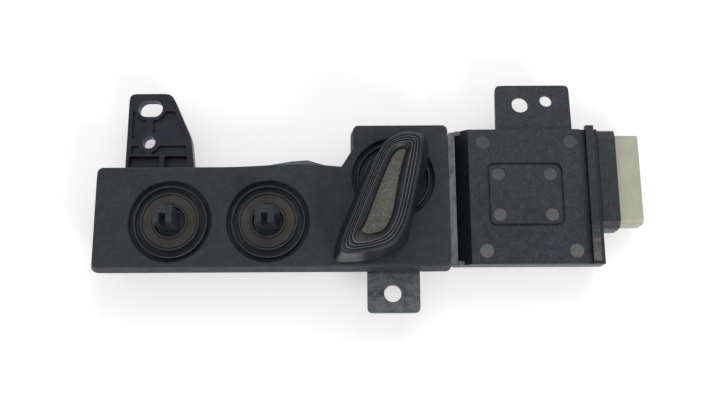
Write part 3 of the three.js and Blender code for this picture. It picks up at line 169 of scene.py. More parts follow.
class PackColours(bpy.types.PropertyGroup):
    """Colours of the finishes."""

    rubber: colour("Rubber", "Skin and boots", (0.029, 0.036, 0.041))
    boot: colour("Boot flat", "Rubbed flat of the boots", (0.045, 0.043, 0.040))
    black: colour("Black plastic", "Lid, collar, knob and stems", (0.0235, 0.0275, 0.0335))
    blue_black: colour("Blue-black plastic", "Switch frame and bracket", (0.010, 0.012, 0.019))
    grey: colour("Grey nylon", "Rear shell and its tab", (0.062, 0.067, 0.072))
    ledge: colour("Grey ledge", "Worn light streaks on the rear shell", (0.16, 0.165, 0.17))
    white: colour("White nylon", "Connector header", (0.50, 0.51, 0.40))
    inlay: colour("Knob inlay", "Grained inlay of the knob", (0.115, 0.115, 0.104))
    # Painted highlight lines on the crests of the skin's well rings and of the boots.
    rubber_highlight: colour("Rubber shine", "Rubbed crests of the rubber", (0.085, 0.085, 0.084))
    # Painted highlight lines on the knob's fine ribs.
    knob_highlight: colour("Knob shine", "Polished crests of the knob", (0.24, 0.247, 0.255))
    acetal: colour("Acetal", "Slider and magnet carriers", (0.68, 0.68, 0.62))
    board: colour("Board", "Solder mask of the circuit board", (0.012, 0.09, 0.035))
    # Also the pale painted highlight along rounded upper edges.
    dust_and_edge_highlight: colour("Dust", "Dust and scuffs", (0.20, 0.20, 0.19))


class StageSettings(bpy.types.PropertyGroup):
    """Camera, lamps and floor."""

    lens: amount("Lens", "Camera focal length", 44.8, "CAMERA")
    tilt: angle("Tilt", "Camera's lean from straight down", 13.5)
    roll: angle("Roll", "Camera's turn about its own line of sight", -0.3)
    distance: length("Distance", "Camera to the point it looks at", 302.6)
    aim_shift: FloatVectorProperty(
        name="Aim",
        description="Point looked at, from the skin's front-left top corner",
        default=(89.3 * MM, 22.2 * MM, 0.0),
        size=3,
        subtype="TRANSLATION",
        unit="LENGTH",
    )
    floor_size: length("Floor size", "Side of the pale floor", 4000.0)
    key_power: amount("Key", "Power of the front lamp", 3.4, "POWER")
    key_size: length("Key size", "Side of the front lamp", 350.0)
    fill_power: amount("Fill", "Power of the rear lamp", 3.0, "POWER")
    fill_size: length("Fill size", "Side of the rear lamp", 700.0)
    world_strength: amount("World", "Even light all round", 0.5)
    floor_glow: amount("Floor glow", "Floor's own light as seen", 0.42)


# ---------------------------------------------------------------- mesh helpers


def scene_settings(name):
    """The property group of that name on the scene."""
    return getattr(bpy.context.scene, name)


def centre_of(node):
    """Middle of a CAD node's box."""
    low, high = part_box(node)
    return (low + high) / 2


def new_piece(name, points, faces, sharp_degrees=35.0):
    """A mesh object at the origin with smooth faces that break at sharp edges."""
    mesh = bpy.data.meshes.new(name)
    mesh.from_pydata(points.tolist(), [], faces)
    mesh.polygons.foreach_set("use_smooth", np.ones(len(mesh.polygons), bool))
    mesh.set_sharp_from_angle(angle=math.radians(sharp_degrees))
    piece = bpy.data.objects.new(name, mesh)
    bpy.context.scene.collection.objects.link(piece)
    return piece


def skin_faces(levels, count, loop):
    """Quads between neighbouring rings, row by row; the last row meets the first if loop."""
    rows = np.arange(levels if loop else levels - 1)[:, None]
    columns = np.arange(count)[None, :]
    next_row = (rows + 1) % levels
    next_column = (columns + 1) % count
    here, there = rows * count, next_row * count
    corners = [here + columns, here + next_column, there + next_column, there + columns]
    quads = np.stack(corners, axis=-1)
    return quads.reshape(-1, 4).tolist()


def skinned(name, rings, loop=False, sharp_degrees=35.0):
    """A closed skin over rings[level, point, xyz]: level by level, capped flat at both ends
    unless the levels themselves close into a loop."""
    levels, count = rings.shape[:2]
    faces = skin_faces(levels, count, loop)
    if not loop:
        faces.append(np.arange(count)[::-1].tolist())
        faces.append((np.arange(count) + (levels - 1) * count).tolist())
    return new_piece(name, rings.reshape(-1, 3), faces, sharp_degrees)


def mark_crests(piece, shares, count):
    """Stores how much of a crest each level is, from 0 to 1, on all its points; the materials paint
    highlight lines where it is high.
    """
    layer = piece.data.attributes.new("crest", "FLOAT", "POINT")
    layer.data.foreach_set("value", np.repeat(np.array(shares, np.float32), count))


def turned_rings(profile, centre, segments):
    """Rings of a turned shape: x = cx + r cos a, y = cy + r sin a, for each (r, z)."""
    angles = np.linspace(0.0, 2.0 * math.pi, segments, endpoint=False)
    radius = profile[:, 0][:, None]
    height = np.broadcast_to(profile[:, 1][:, None], (len(profile), segments))
    return np.stack(
        [centre[0] + radius * np.cos(angles), centre[1] + radius * np.sin(angles), height], axis=-1
    )


def arc(centre, radius, start, end, steps):
    """Points (centre + radius (cos a, sin a)) from the start to the end angle, in degrees."""
    angles = np.radians(np.linspace(start, end, steps))
    return np.array(centre) + radius * np.stack([np.cos(angles), np.sin(angles)], axis=-1)


def combine(piece, other, operation):
    """Joins another piece to this one or cuts it away, and removes the other."""
    modifier = piece.modifiers.new("combine", "BOOLEAN")
    modifier.object = other
    modifier.operation = operation
    modifier.solver = "EXACT"
    graph = bpy.context.evaluated_depsgraph_get()
    mesh = bpy.data.meshes.new_from_object(piece.evaluated_get(graph))
    piece.modifiers.clear()
    piece.data = mesh
    bpy.data.objects.remove(other)


def smooth_again(piece, sharp_degrees=35.0):
    """Smooth faces that break at sharp edges, after a cut."""
    piece.data.polygons.foreach_set("use_smooth", np.ones(len(piece.data.polygons), bool))
    piece.data.set_sharp_from_angle(angle=math.radians(sharp_degrees))


def place(piece, body, material, slot, *nodes):
    """Gives a finished piece its body and material and hides the CAD nodes it stands for; the record
    slot is not used.
    """
    piece.data.materials.clear()
    piece.data.materials.append(material)
    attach(piece, body)
    if nodes:
        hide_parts(*nodes)
    return piece


# ---------------------------------------------------------------- materials


def seen_directly(tree):
    """1 for rays that look straight, by mirror or through glass, and 0 for the rest."""
    path = tree.nodes.new("ShaderNodeLightPath")
    total = path.outputs["Is Camera Ray"]
    for ray in ("Is Glossy Ray", "Is Transmission Ray"):
        node = tree.nodes.new("ShaderNodeMath")
        node.operation = "MAXIMUM"
        tree.links.new(total, node.inputs[0])
        tree.links.new(path.outputs[ray], node.inputs[1])
        total = node.outputs["Value"]
    return total


class Nodes:
    """Builds one node material step by step."""

    def __init__(self, name):
        self.material = bpy.data.materials.new(name)
        self.material.use_nodes = True
        self.tree = self.material.node_tree
        self.shader = self.tree.nodes["Principled BSDF"]
        self.where = self.tree.nodes.new("ShaderNodeTexCoord").outputs["Object"]

    def link(self, source, socket):
        self.tree.links.new(source, socket)

    def set(self, **values):
        """Sets even values straight on the shader's own sockets."""
        for key, value in values.items():
            self.shader.inputs[key.replace("_", " ")].default_value = value

    def stretched(self, scale):
        """Object coordinates times a scale along each axis."""
        node = self.tree.nodes.new("ShaderNodeMapping")
        node.inputs["Scale"].default_value = scale
        self.link(self.where, node.inputs["Vector"])
        return node.outputs["Vector"]

    def noise(self, size, detail=3.0, roughness=0.55, vector=None):
        """Cloudy noise whose blobs measure about size metres."""
        node = self.tree.nodes.new("ShaderNodeTexNoise")
        node.inputs["Scale"].default_value = 1.0 / size
        node.inputs["Detail"].default_value = detail
        node.inputs["Roughness"].default_value = roughness
        self.link(vector or self.where, node.inputs["Vector"])
        return node.outputs["Fac"]

    def cells(self, size):
        """Distance to the nearest of scattered points about size metres apart."""
        node = self.tree.nodes.new("ShaderNodeTexVoronoi")
        node.inputs["Scale"].default_value = 1.0 / size
        self.link(self.where, node.inputs["Vector"])
        return node.outputs["Distance"]

    def between(self, value, low, high, out_low=0.0, out_high=1.0):
        """Value from low..high mapped to out_low..out_high, held at the ends."""
        node = self.tree.nodes.new("ShaderNodeMapRange")
        node.inputs["From Min"].default_value = low
        node.inputs["From Max"].default_value = high
        node.inputs["To Min"].default_value = out_low
        node.inputs["To Max"].default_value = out_high
        self.link(value, node.inputs["Value"])
        return node.outputs["Result"]

    def maths(self, operation, first, second):
        """One sum of two sockets or numbers."""
        node = self.tree.nodes.new("ShaderNodeMath")
        node.operation = operation
        for socket, value in zip(node.inputs, (first, second)):
            if isinstance(value, (int, float)):
                socket.default_value = value
            else:
                self.link(value, socket)
        return node.outputs["Value"]

    def mix(self, share, first, second):
        """First colour to second colour by a share."""
        node = self.tree.nodes.new("ShaderNodeMix")
        node.data_type = "RGBA"
        self.link(share, node.inputs["Factor"])
        colour_sockets = [socket for socket in node.inputs if socket.type == "RGBA"]
        for socket, value in zip(colour_sockets, (first, second)):
            if hasattr(value, "is_linked"):
                self.link(value, socket)
            else:
                socket.default_value = (*value, 1.0)
        return next(socket for socket in node.outputs if socket.type == "RGBA")

    def facing(self, axis):
        """The surface normal's part along X, Y or Z."""
        geometry = self.tree.nodes.new("ShaderNodeNewGeometry")
        split = self.tree.nodes.new("ShaderNodeSeparateXYZ")
        self.link(geometry.outputs["Normal"], split.inputs["Vector"])
        return split.outputs[axis]

    def along(self, axis):
        """The place along X, Y or Z, in metres."""
        split = self.tree.nodes.new("ShaderNodeSeparateXYZ")
        self.link(self.where, split.inputs["Vector"])
        return split.outputs[axis]

    def crests(self):
        """The piece's own stored share of crest, where painted highlight lines go."""
        node = self.tree.nodes.new("ShaderNodeAttribute")
        node.attribute_name = "crest"
        return node.outputs["Fac"]

    def from_axis(self, centre):
        """Distance in plan from an upright axis."""
        split = self.tree.nodes.new("ShaderNodeSeparateXYZ")
        flat = self.tree.nodes.new("ShaderNodeCombineXYZ")
        away = self.tree.nodes.new("ShaderNodeVectorMath")
        away.operation = "DISTANCE"
        away.inputs[1].default_value = (centre[0], centre[1], 0.0)
        self.link(self.where, split.inputs["Vector"])
        self.link(split.outputs["X"], flat.inputs["X"])
        self.link(split.outputs["Y"], flat.inputs["Y"])
        self.link(flat.outputs["Vector"], away.inputs[0])
        return away.outputs["Value"]

    def edges(self):
        """Share of wear and painted highlight on rounded upper edges, told by normals that lean
        halfway down.
        """
        off = self.maths("ABSOLUTE", self.maths("SUBTRACT", self.facing("Z"), 0.6), 0.0)
        return self.between(off, 0.0, 0.14, 1.0, 0.0)

    def bump(self, height, distance):
        """Raises the surface by a height from 0 to 1 times a distance."""
        node = self.tree.nodes.new("ShaderNodeBump")
        node.inputs["Distance"].default_value = distance
        node.inputs["Strength"].default_value = 1.0
        self.link(height, node.inputs["Height"])
        self.link(node.outputs["Normal"], self.shader.inputs["Normal"])

    def colour(self, source):
        self.link(source, self.shader.inputs["Base Color"])

    def roughness(self, source):
        self.link(source, self.shader.inputs["Roughness"])


def scaled(values, factor):
    """A colour made lighter or darker."""
    return tuple(min(1.0, value * factor) for value in values)


def toned(n, base, clouds, grain):
    """A base colour with wide clouds, middling mottles and fine grain."""
    wide = n.between(n.noise(14 * MM, 4.0), 0.3, 0.7)
    mottle = n.between(n.noise(2.2 * MM, 4.0, 0.65), 0.32, 0.68)
    fine = n.between(n.noise(0.7 * MM, 2.0), 0.3, 0.7)
    first = n.mix(wide, scaled(base, 1 - clouds), scaled(base, 1 + clouds))
    second = n.mix(n.maths("MULTIPLY", mottle, grain), first, scaled(base, 2.4))
    return n.mix(n.maths("MULTIPLY", fine, grain), second, scaled(base, 0.2))


def dusted_and_edge_lit(n, source, dust_and_edge_highlight, amount):
    """A colour with pale dusty patches and flecks, and pale wear and painted highlight along rounded
    outward edges.
    """
    patch = n.between(n.noise(5 * MM, 5.0, 0.7), 0.56, 0.78, 0.0, amount)
    fleck = n.between(n.noise(0.6 * MM, 2.0), 0.66, 0.74, 0.0, amount)
    patchily = n.between(n.noise(3 * MM, 4.0), 0.4, 0.65, 0.3, 1.0)
    # Pale wear and painted highlight along rounded upper edges.
    pale_band = n.maths("MULTIPLY", n.maths("MULTIPLY", n.edges(), patchily), amount * 3)
    return n.mix(n.maths("MAXIMUM", n.maths("MAXIMUM", patch, fleck), pale_band), source, dust_and_edge_highlight)


def moulded(name, base, dust_and_edge_highlight, rough, grain=0.5, grain_height=0.02, clouds=0.18, dusty=0.1):
    """Moulded plastic: cloudy and mottled tone, fine grain, dusty patches, and wear and painted
    highlight on rounded edges.
    """
    n = Nodes(name)
    n.colour(dusted_and_edge_lit(n, toned(n, base, clouds, 0.6), dust_and_edge_highlight, dusty))
    n.roughness(n.between(n.noise(3 * MM, 4.0), 0.3, 0.7, rough - 0.08, rough + 0.09))
    n.bump(n.noise(grain * MM, 3.0), grain_height * MM)
    n.set(Specular_IOR_Level=0.28)
    return n.material


def skin_rubber(name, base, dust_and_edge_highlight, highlight):
    """Skin rubber: even dark tone with a faint bloom, and painted highlight lines on the crests of the
    rings in the wells."""
    n = Nodes(name)
    w = scene_settings("well_sizes")
    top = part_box("rubber_cover")[1].z
    body = dusted_and_edge_lit(n, toned(n, base, 0.14, 0.3), dust_and_edge_highlight, 0.05)
    near = None
    for boot_name in BOOTS:
        away = n.from_axis(centre_of(boot_name))
        off = n.maths("ABSOLUTE", n.maths("SUBTRACT", away, w.ridge_radius), 0.0)
        line = n.between(off, 0.12 * MM, 0.3 * MM, 1.0, 0.0)
        near = line if near is None else n.maths("MAXIMUM", near, line)
    sunk = n.between(n.along("Z"), top - 0.3 * MM, top - 0.5 * MM)
    above = n.between(n.along("Z"), top - 1.3 * MM, top - 1.1 * MM)
    crest = n.maths("MULTIPLY", near, n.maths("MULTIPLY", sunk, above))
    patchily = n.between(n.noise(4 * MM, 4.0), 0.35, 0.65, 0.25, 0.6)
    # Painted highlight lines on the ring crests, uneven along their length.
    n.colour(n.mix(n.maths("MULTIPLY", crest, patchily), body, highlight))
    n.roughness(n.between(n.noise(3 * MM, 4.0), 0.3, 0.7, 0.55, 0.72))
    n.bump(n.noise(0.45 * MM, 3.0), 0.03 * MM)
    n.set(Specular_IOR_Level=0.25)
    return n.material


def crested(name, base, dust_and_edge_highlight, rough, highlight):
    """Smooth dark moulding with pale painted highlight lines on its stored crests."""
    n = Nodes(name)
    body = dusted_and_edge_lit(n, toned(n, base, 0.15, 0.25), dust_and_edge_highlight, 0.05)
    crest = n.crests()
    # Painted highlight lines on the crests.
    n.colour(n.mix(n.maths("MULTIPLY", crest, 0.8), body, highlight))
    uneven = n.between(n.noise(3 * MM, 4.0), 0.3, 0.7, rough - 0.05, rough + 0.08)
    n.roughness(n.maths("SUBTRACT", uneven, n.maths("MULTIPLY", crest, 0.1)))
    n.bump(n.noise(0.5 * MM, 2.0), 0.006 * MM)
    n.set(Specular_IOR_Level=0.32)
    return n.material


def lid_plastic(name, base, dust_and_edge_highlight):
    """Lid plastic: speckled like the other mouldings, with paler ejector marks, told by their height
    just under the lid's top, a pale front stretch of wear on the end rib, and painted shade on the
    left slope, told by its leftward-facing normal, and on the strip past the end rib."""
    n = Nodes(name)
    low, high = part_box("module_cover")
    lid_top = high.z - 1.2 * MM
    body = dusted_and_edge_lit(n, toned(n, base, 0.25, 0.65), dust_and_edge_highlight, 0.14)
    up = n.between(n.facing("Z"), 0.9, 0.97)
    floor = n.maths("MULTIPLY", n.between(n.along("Z"), lid_top - 0.35 * MM, lid_top - 0.25 * MM),
                    n.between(n.along("Z"), lid_top - 0.15 * MM, lid_top - 0.05 * MM, 1.0, 0.0))
    inside = n.between(n.along("X"), low.x + 5 * MM, low.x + 5.2 * MM)
    mark = n.maths("MULTIPLY", n.maths("MULTIPLY", up, floor), inside)
    forward = n.between(n.along("Y"), low.y, low.y + 40 * MM, 1.0, 0.35)
    matt = n.between(n.noise(0.8 * MM, 4.0, 0.7), 0.3, 0.7, 0.35, 1.0)
    marked = n.mix(n.maths("MULTIPLY", n.maths("MULTIPLY", mark, forward), matt), body, dust_and_edge_highlight)
    rib = n.between(n.along("Z"), high.z - 0.3 * MM, high.z - 0.1 * MM)
    front = n.between(n.along("Y"), low.y + 5 * MM, low.y + 14 * MM, 0.8, 0.0)
    rub = n.between(n.noise(2.5 * MM, 5.0, 0.7), 0.35, 0.6)
    pale_band = n.maths("MULTIPLY", n.maths("MULTIPLY", rib, front), rub)
    # Painted shade on the strip past the end rib, less towards the front.
    end_step_shade = n.between(n.along("X"), high.x - 1.8 * MM, high.x - 1.6 * MM)
    shaded = n.mix(n.maths("MULTIPLY", end_step_shade, n.maths("SUBTRACT", 0.8, front)), marked,
                   scaled(base, 0.35))
    patchily = n.mix(pale_band, shaded, dust_and_edge_highlight)
    # Painted shade on the left slope, which faces left.
    ramp_shade = n.between(n.facing("X"), -0.55, -0.4, 1.0, 0.0)
    n.colour(n.mix(ramp_shade, patchily, scaled(base, 0.2)))
    n.roughness(n.between(n.noise(2.5 * MM, 4.0), 0.3, 0.7, 0.36, 0.52))
    n.bump(n.noise(0.6 * MM, 3.0), 0.03 * MM)
    n.set(Specular_IOR_Level=0.28)
    return n.material


def filled_nylon(name, base, light, dust_and_edge_highlight):
    """Glass-filled nylon: mottled grey with pale flow swirls and short pale fibres; its narrow
    ledge is rubbed paler and its front tab has pale clouds."""
    n = Nodes(name)
    swirl = n.between(n.noise(4 * MM, 6.0, 0.7), 0.42, 0.62)
    body = n.mix(swirl, scaled(base, 0.65), scaled(base, 2.3))
    fibre = n.noise(0.8 * MM, 3.0, 0.6, n.stretched((0.35, 1.0, 1.0)))
    streaked = n.mix(n.between(fibre, 0.5, 0.66, 0.0, 0.75), body, light)
    up = n.between(n.facing("Z"), 0.7, 0.95)
    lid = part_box("module_cover")[0].x
    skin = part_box("rubber_cover")[1].x
    on_ledge = n.maths("MULTIPLY", n.between(n.along("X"), skin, skin + 0.1 * MM),
                       n.between(n.along("X"), lid - 0.1 * MM, lid, 1.0, 0.0))
    long_clouds = n.noise(1.6 * MM, 4.0, 0.6, n.stretched((1.0, 0.3, 1.0)))
    patchily = n.between(long_clouds, 0.35, 0.6, 0.3, 1.0)
    pale = n.maths("MULTIPLY", n.maths("MULTIPLY", up, on_ledge), patchily)
    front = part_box("rear_shell")[0].y
    forward = n.between(n.along("Y"), front + 13 * MM, front + 14 * MM, 1.0, 0.0)
    on_tab = n.maths("MULTIPLY", up, forward)
    clouds = n.between(n.noise(3.2 * MM, 5.0, 0.7), 0.4, 0.62, 0.0, 0.55)
    clouded = n.mix(n.maths("MULTIPLY", on_tab, clouds), streaked, light)
    n.colour(n.mix(n.maths("MULTIPLY", pale, 0.8), clouded, scaled(light, 1.5)))
    n.roughness(n.between(swirl, 0.0, 1.0, 0.40, 0.6))
    n.bump(n.noise(0.5 * MM, 4.0), 0.03 * MM)
    n.set(Specular_IOR_Level=0.3)
    return n.material


def white_nylon(name, base, dust_and_edge_highlight):
    """Natural nylon: warm off-white, a little see-through, with faint grey scuffs."""
    n = Nodes(name)
    tone = n.between(n.noise(9 * MM, 3.0), 0.3, 0.7)
    body = n.mix(tone, scaled(base, 0.9), scaled(base, 1.06))
    scuff = n.between(n.noise(1.4 * MM, 5.0, 0.7), 0.58, 0.8, 0.0, 0.4)
    n.colour(n.mix(scuff, body, dust_and_edge_highlight))
    n.roughness(n.between(n.noise(2 * MM), 0.3, 0.7, 0.42, 0.55))
    n.bump(n.noise(0.6 * MM), 0.01 * MM)
    n.set(Subsurface_Weight=0.15, Subsurface_Scale=1.5 * MM)
    return n.material


def metal(name, base, rough):
    """Plated or bright metal with fine brushing and dull spots."""
    n = Nodes(name)
    spots = n.between(n.noise(1.1 * MM, 4.0), 0.45, 0.7)
    n.colour(n.mix(spots, base, scaled(base, 0.72)))
    lines = n.noise(0.3 * MM, 2.0, 0.5, n.stretched((1.0, 8.0, 1.0)))
    n.roughness(n.between(lines, 0.3, 0.7, rough, rough + 0.15))
    n.bump(lines, 0.004 * MM)
    n.set(Metallic=1.0)
    return n.material


def circuit_board(name, mask, trace):
    """Green solder mask with paler tracks, a pale weave and tinned dots."""
    n = Nodes(name)
    bricks = n.tree.nodes.new("ShaderNodeTexBrick")
    bricks.inputs["Scale"].default_value = 1.0 / (7 * MM)
    bricks.inputs["Mortar Size"].default_value = 0.03
    bricks.inputs["Color1"].default_value = (*mask, 1.0)
    bricks.inputs["Color2"].default_value = (*scaled(mask, 0.8), 1.0)
    bricks.inputs["Mortar"].default_value = (*scaled(mask, 2.0), 1.0)
    n.link(n.where, bricks.inputs["Vector"])
    pads = n.between(n.cells(3.2 * MM), 0.10, 0.13, 1.0, 0.0)
    n.colour(n.mix(pads, bricks.outputs["Color"], trace))
    n.roughness(n.between(n.noise(2 * MM), 0.3, 0.7, 0.3, 0.42))
    n.bump(bricks.outputs["Fac"], 0.03 * MM)
    return n.material


def grained_inlay(name, base, dust_and_edge_highlight):
    """Leather-like grain: small rounded pebbles parted by creases darkened with painted shade."""
    n = Nodes(name)
    pebble = n.cells(0.62 * MM)
    crease_shade = n.between(pebble, 0.25, 0.62)
    tone = n.between(n.noise(6 * MM, 3.0), 0.3, 0.7)
    body = n.mix(tone, scaled(base, 0.85), scaled(base, 1.2))
    # Painted shade in the creases of the grain.
    n.colour(n.mix(n.maths("MULTIPLY", crease_shade, 0.55), body, scaled(base, 0.35)))
    n.roughness(n.between(pebble, 0.1, 0.7, 0.5, 0.75))
    n.bump(n.between(pebble, 0.0, 0.8, 1.0, 0.0), 0.09 * MM)
    return n.material


def boot_rubber(name, rubber, flat, dust_and_edge_highlight, highlight):
    """Boot rubber: the upward flat is paler and brownish, the other faces darker, and the crests carry
    painted highlight lines.
    """
    n = Nodes(name)
    up = n.between(n.facing("Z"), 0.75, 0.98)
    cloud = n.between(n.noise(6 * MM, 4.0), 0.3, 0.7)
    patchily = n.mix(cloud, scaled(flat, 0.8), scaled(flat, 1.25))
    body = n.mix(up, scaled(rubber, 0.6), patchily)
    fleck = n.between(n.noise(0.5 * MM, 2.0), 0.66, 0.76, 0.0, 0.18)
    flecked = n.mix(fleck, body, dust_and_edge_highlight)
    highlight_patches = n.between(n.noise(4 * MM, 4.0), 0.35, 0.65, 0.25, 0.6)
    # Painted highlight lines on the crests.
    n.colour(n.mix(n.maths("MULTIPLY", n.crests(), highlight_patches), flecked, highlight))
    n.roughness(n.between(n.noise(2 * MM), 0.3, 0.7, 0.55, 0.7))
    n.bump(n.noise(0.4 * MM), 0.02 * MM)
    n.set(Specular_IOR_Level=0.25)
    return n.material


FINISHES = {}


def make_finishes():
    """Every material of the pack, by record slot, with the boots', lid's and knob's own."""
    c = scene_settings("pack_colours")
    dust_and_edge_highlight = tuple(c.dust_and_edge_highlight)
    FINISHES.update(
        rubber=skin_rubber("skin_rubber", c.rubber, dust_and_edge_highlight, c.rubber_highlight),
        boot=boot_rubber("boot_rubber", c.rubber, c.boot, dust_and_edge_highlight, c.rubber_highlight),
        black_plastic=moulded("black_plastic", c.black, dust_and_edge_highlight, 0.38, dusty=0.14),
        lid=lid_plastic("lid_plastic", c.black, dust_and_edge_highlight),
        knob=crested("knob_plastic", scaled(c.black, 0.4), dust_and_edge_highlight, 0.36, c.knob_highlight),
        blue_black_plastic=moulded("blue_black_plastic", c.blue_black, dust_and_edge_highlight, 0.34, 0.6, 0.03, 0.3),
        grey_nylon=filled_nylon("filled_nylon", c.grey, c.ledge, dust_and_edge_highlight),
        white_nylon=white_nylon("white_nylon", c.white, dust_and_edge_highlight),
        knob_insert=grained_inlay("grained_inlay", c.inlay, dust_and_edge_highlight),
        acetal=white_nylon("acetal", c.acetal, dust_and_edge_highlight),
        board=circuit_board("circuit_board", c.board, (0.6, 0.58, 0.5)),
        chip=moulded("chip_epoxy", (0.012, 0.012, 0.013), dust_and_edge_highlight, 0.45, 0.2, 0.01, 0.1, 0.05),
        capacitor=metal("capacitor_can", (0.62, 0.64, 0.66), 0.25),
        tinned_pin=metal("tinned_pin", (0.66, 0.63, 0.55), 0.22),
        zinc_screw=metal("zinc_plate", (0.5, 0.51, 0.52), 0.32),
        spring_steel=metal("spring_steel", (0.4, 0.41, 0.42), 0.25),
        magnet=metal("magnet_plate", (0.28, 0.29, 0.30), 0.3),
    )


# ---------------------------------------------------------------- outlines


def rounded_ring(corners, inward, arc_steps=7, edge_steps=14):
    """An anticlockwise outline of (x, y, radius) corners, moved inwards by a distance: along
    each corner an arc, and along each side evenly spaced points, so rings keep one numbering."""
    data = np.array(corners, float)
    here = data[:, :2]
    arriving = here - np.roll(here, 1, axis=0)
    arriving /= np.linalg.norm(arriving, axis=1)[:, None]
    leaving = np.roll(arriving, -1, axis=0)
    left = np.stack([-arriving[:, 1], arriving[:, 0]], axis=-1)
    next_left = np.stack([-leaving[:, 1], leaving[:, 0]], axis=-1)
    bisector = (left + next_left) / (1 + np.sum(left * next_left, axis=1))[:, None]
    turn = np.arctan2(
        arriving[:, 0] * leaving[:, 1] - arriving[:, 1] * leaving[:, 0],
        np.sum(arriving * leaving, axis=1),
    )
    side = np.sign(turn)
    radius = np.maximum(data[:, 2] - side * inward, 0.05 * MM)
    middle = here + bisector * (inward + side * radius)[:, None]
    start = np.arctan2(-left[:, 1] * side, -left[:, 0] * side)
    sweep = np.linspace(0.0, 1.0, arc_steps)
    angle = start[:, None] + turn[:, None] * sweep[None, :]
    arcs = middle[:, None, :] + radius[:, None, None] * np.stack([np.cos(angle), np.sin(angle)], -1)
    ends = np.roll(arcs[:, 0, :], -1, axis=0)
    share = (np.arange(1, edge_steps) / edge_steps)[None, :, None]
    sides = arcs[:, -1:, :] * (1 - share) + ends[:, None, :] * share
    return np.concatenate([arcs, sides], axis=1).reshape(-1, 2)


def smooth_ring(points, steps=12):
    """A closed Catmull-Rom curve through plan points: on each span the cubic that meets both
    points with the slope of their neighbours."""
    p1 = np.array(points) * MM
    p0, p2, p3 = np.roll(p1, 1, axis=0), np.roll(p1, -1, axis=0), np.roll(p1, -2, axis=0)
    t = (np.arange(steps) / steps)[None, :, None]
    a, b, c, d = (p[:, None, :] for p in (p0, p1, p2, p3))
    curve = 0.5 * (2 * b + (c - a) * t + (2 * a - 5 * b + 4 * c - d) * t**2
                   + (3 * b - a - 3 * c + d) * t**3)
    return curve.reshape(-1, 2)


def moved_in(ring, distance):
    """Each ring point moved towards the inside by a distance."""
    along = np.roll(ring, -1, axis=0) - np.roll(ring, 1, axis=0)
    along /= np.linalg.norm(along, axis=1)[:, None]
    return ring + distance * np.stack([-along[:, 1], along[:, 0]], axis=-1)


# ---------------------------------------------------------------- rubber skin


def skin_corners():
    """Plan corners of the rubber skin from its CAD box, anticlockwise from front left."""
    s = scene_settings("skin_sizes")
    low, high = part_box("rubber_cover")
    block = high.x - s.block_length
    body = low.y + s.body_depth
    r = s.corner_radius
    return [
        (low.x, low.y, r),
        (high.x, low.y, r),
        (high.x, high.y, r),
        (block, high.y, r),
        (block, body + s.step_rise, s.step_radius),
        (block - s.step_run, body, s.step_radius),
        (low.x, body, r),
    ]


def lean(ring, depth):
    """Skirt points pushed outwards: every side leans out in proportion to depth, and the rear
    of the narrow part also swells, by a cosine bump with a long left and a short right run."""
    s = scene_settings("skin_sizes")
    low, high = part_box("rubber_cover")
    body = low.y + s.body_depth
    near = s.flare_reach
    x, y = ring[:, 0], ring[:, 1]
    left = np.clip((low.x + near - x) / near, 0, 1)
    right = np.clip((x - high.x + near) / near, 0, 1)
    front = np.clip((low.y + near - y) / near, 0, 1)
    narrow = (y < body + 1 * MM) * np.clip((y - body + near) / near, 0, 1)
    deep = np.clip((y - high.y + near) / near, 0, 1)
    block_side = (y > body + 1 * MM) * np.clip((high.x - s.block_length + near - x) / near, 0, 1)
    run = x - low.x - s.bulge_place
    share = np.clip(np.where(run < 0, run / s.bulge_left, run / s.bulge_right), -1, 1)
    bump = 0.5 * (1 + np.cos(math.pi * share))
    push_x = s.right_flare * right - s.left_flare * left - s.block_flare * block_side
    push_y = narrow * (s.rear_flare + s.bulge * bump) + s.block_flare * deep - s.front_flare * front
    bow = narrow * bump * s.rear_bow + deep * s.block_bow
    return ring + np.stack([depth * push_x, depth * push_y + bow], axis=-1)


def level(ring, z):
    """A plan ring lifted to a height."""
    return np.concatenate([ring, np.full((len(ring), 1), z)], axis=1)


def well_air(centre, top):
    """Air of a well: the web's hole, the inner groove, the ring as a dip in the air, the outer
    groove and the wall, rounded out at the top."""
    w = scene_settings("well_sizes")
    floor = top - w.floor_drop
    crest = top - w.ridge_drop
    foot = w.ridge_width / 2
    tip = foot * 0.5
    ring_tip = arc((w.ridge_radius, crest - tip), tip, 180, 0, 7)
    lip = arc((w.radius + w.lip, top - w.lip), w.lip, 180, 90, 6)
    profile = np.concatenate(
        [
            [(w.hole_radius, floor - 4 * w.web), (w.hole_radius, floor)],
            [(w.ridge_radius - foot, floor)],
            ring_tip,
            [(w.ridge_radius + foot, floor), (w.radius, floor)],
            lip,
            [(w.radius + w.lip, top + 5 * MM)],
        ]
    )
    return skinned("well_air", turned_rings(profile, centre, w.segments))


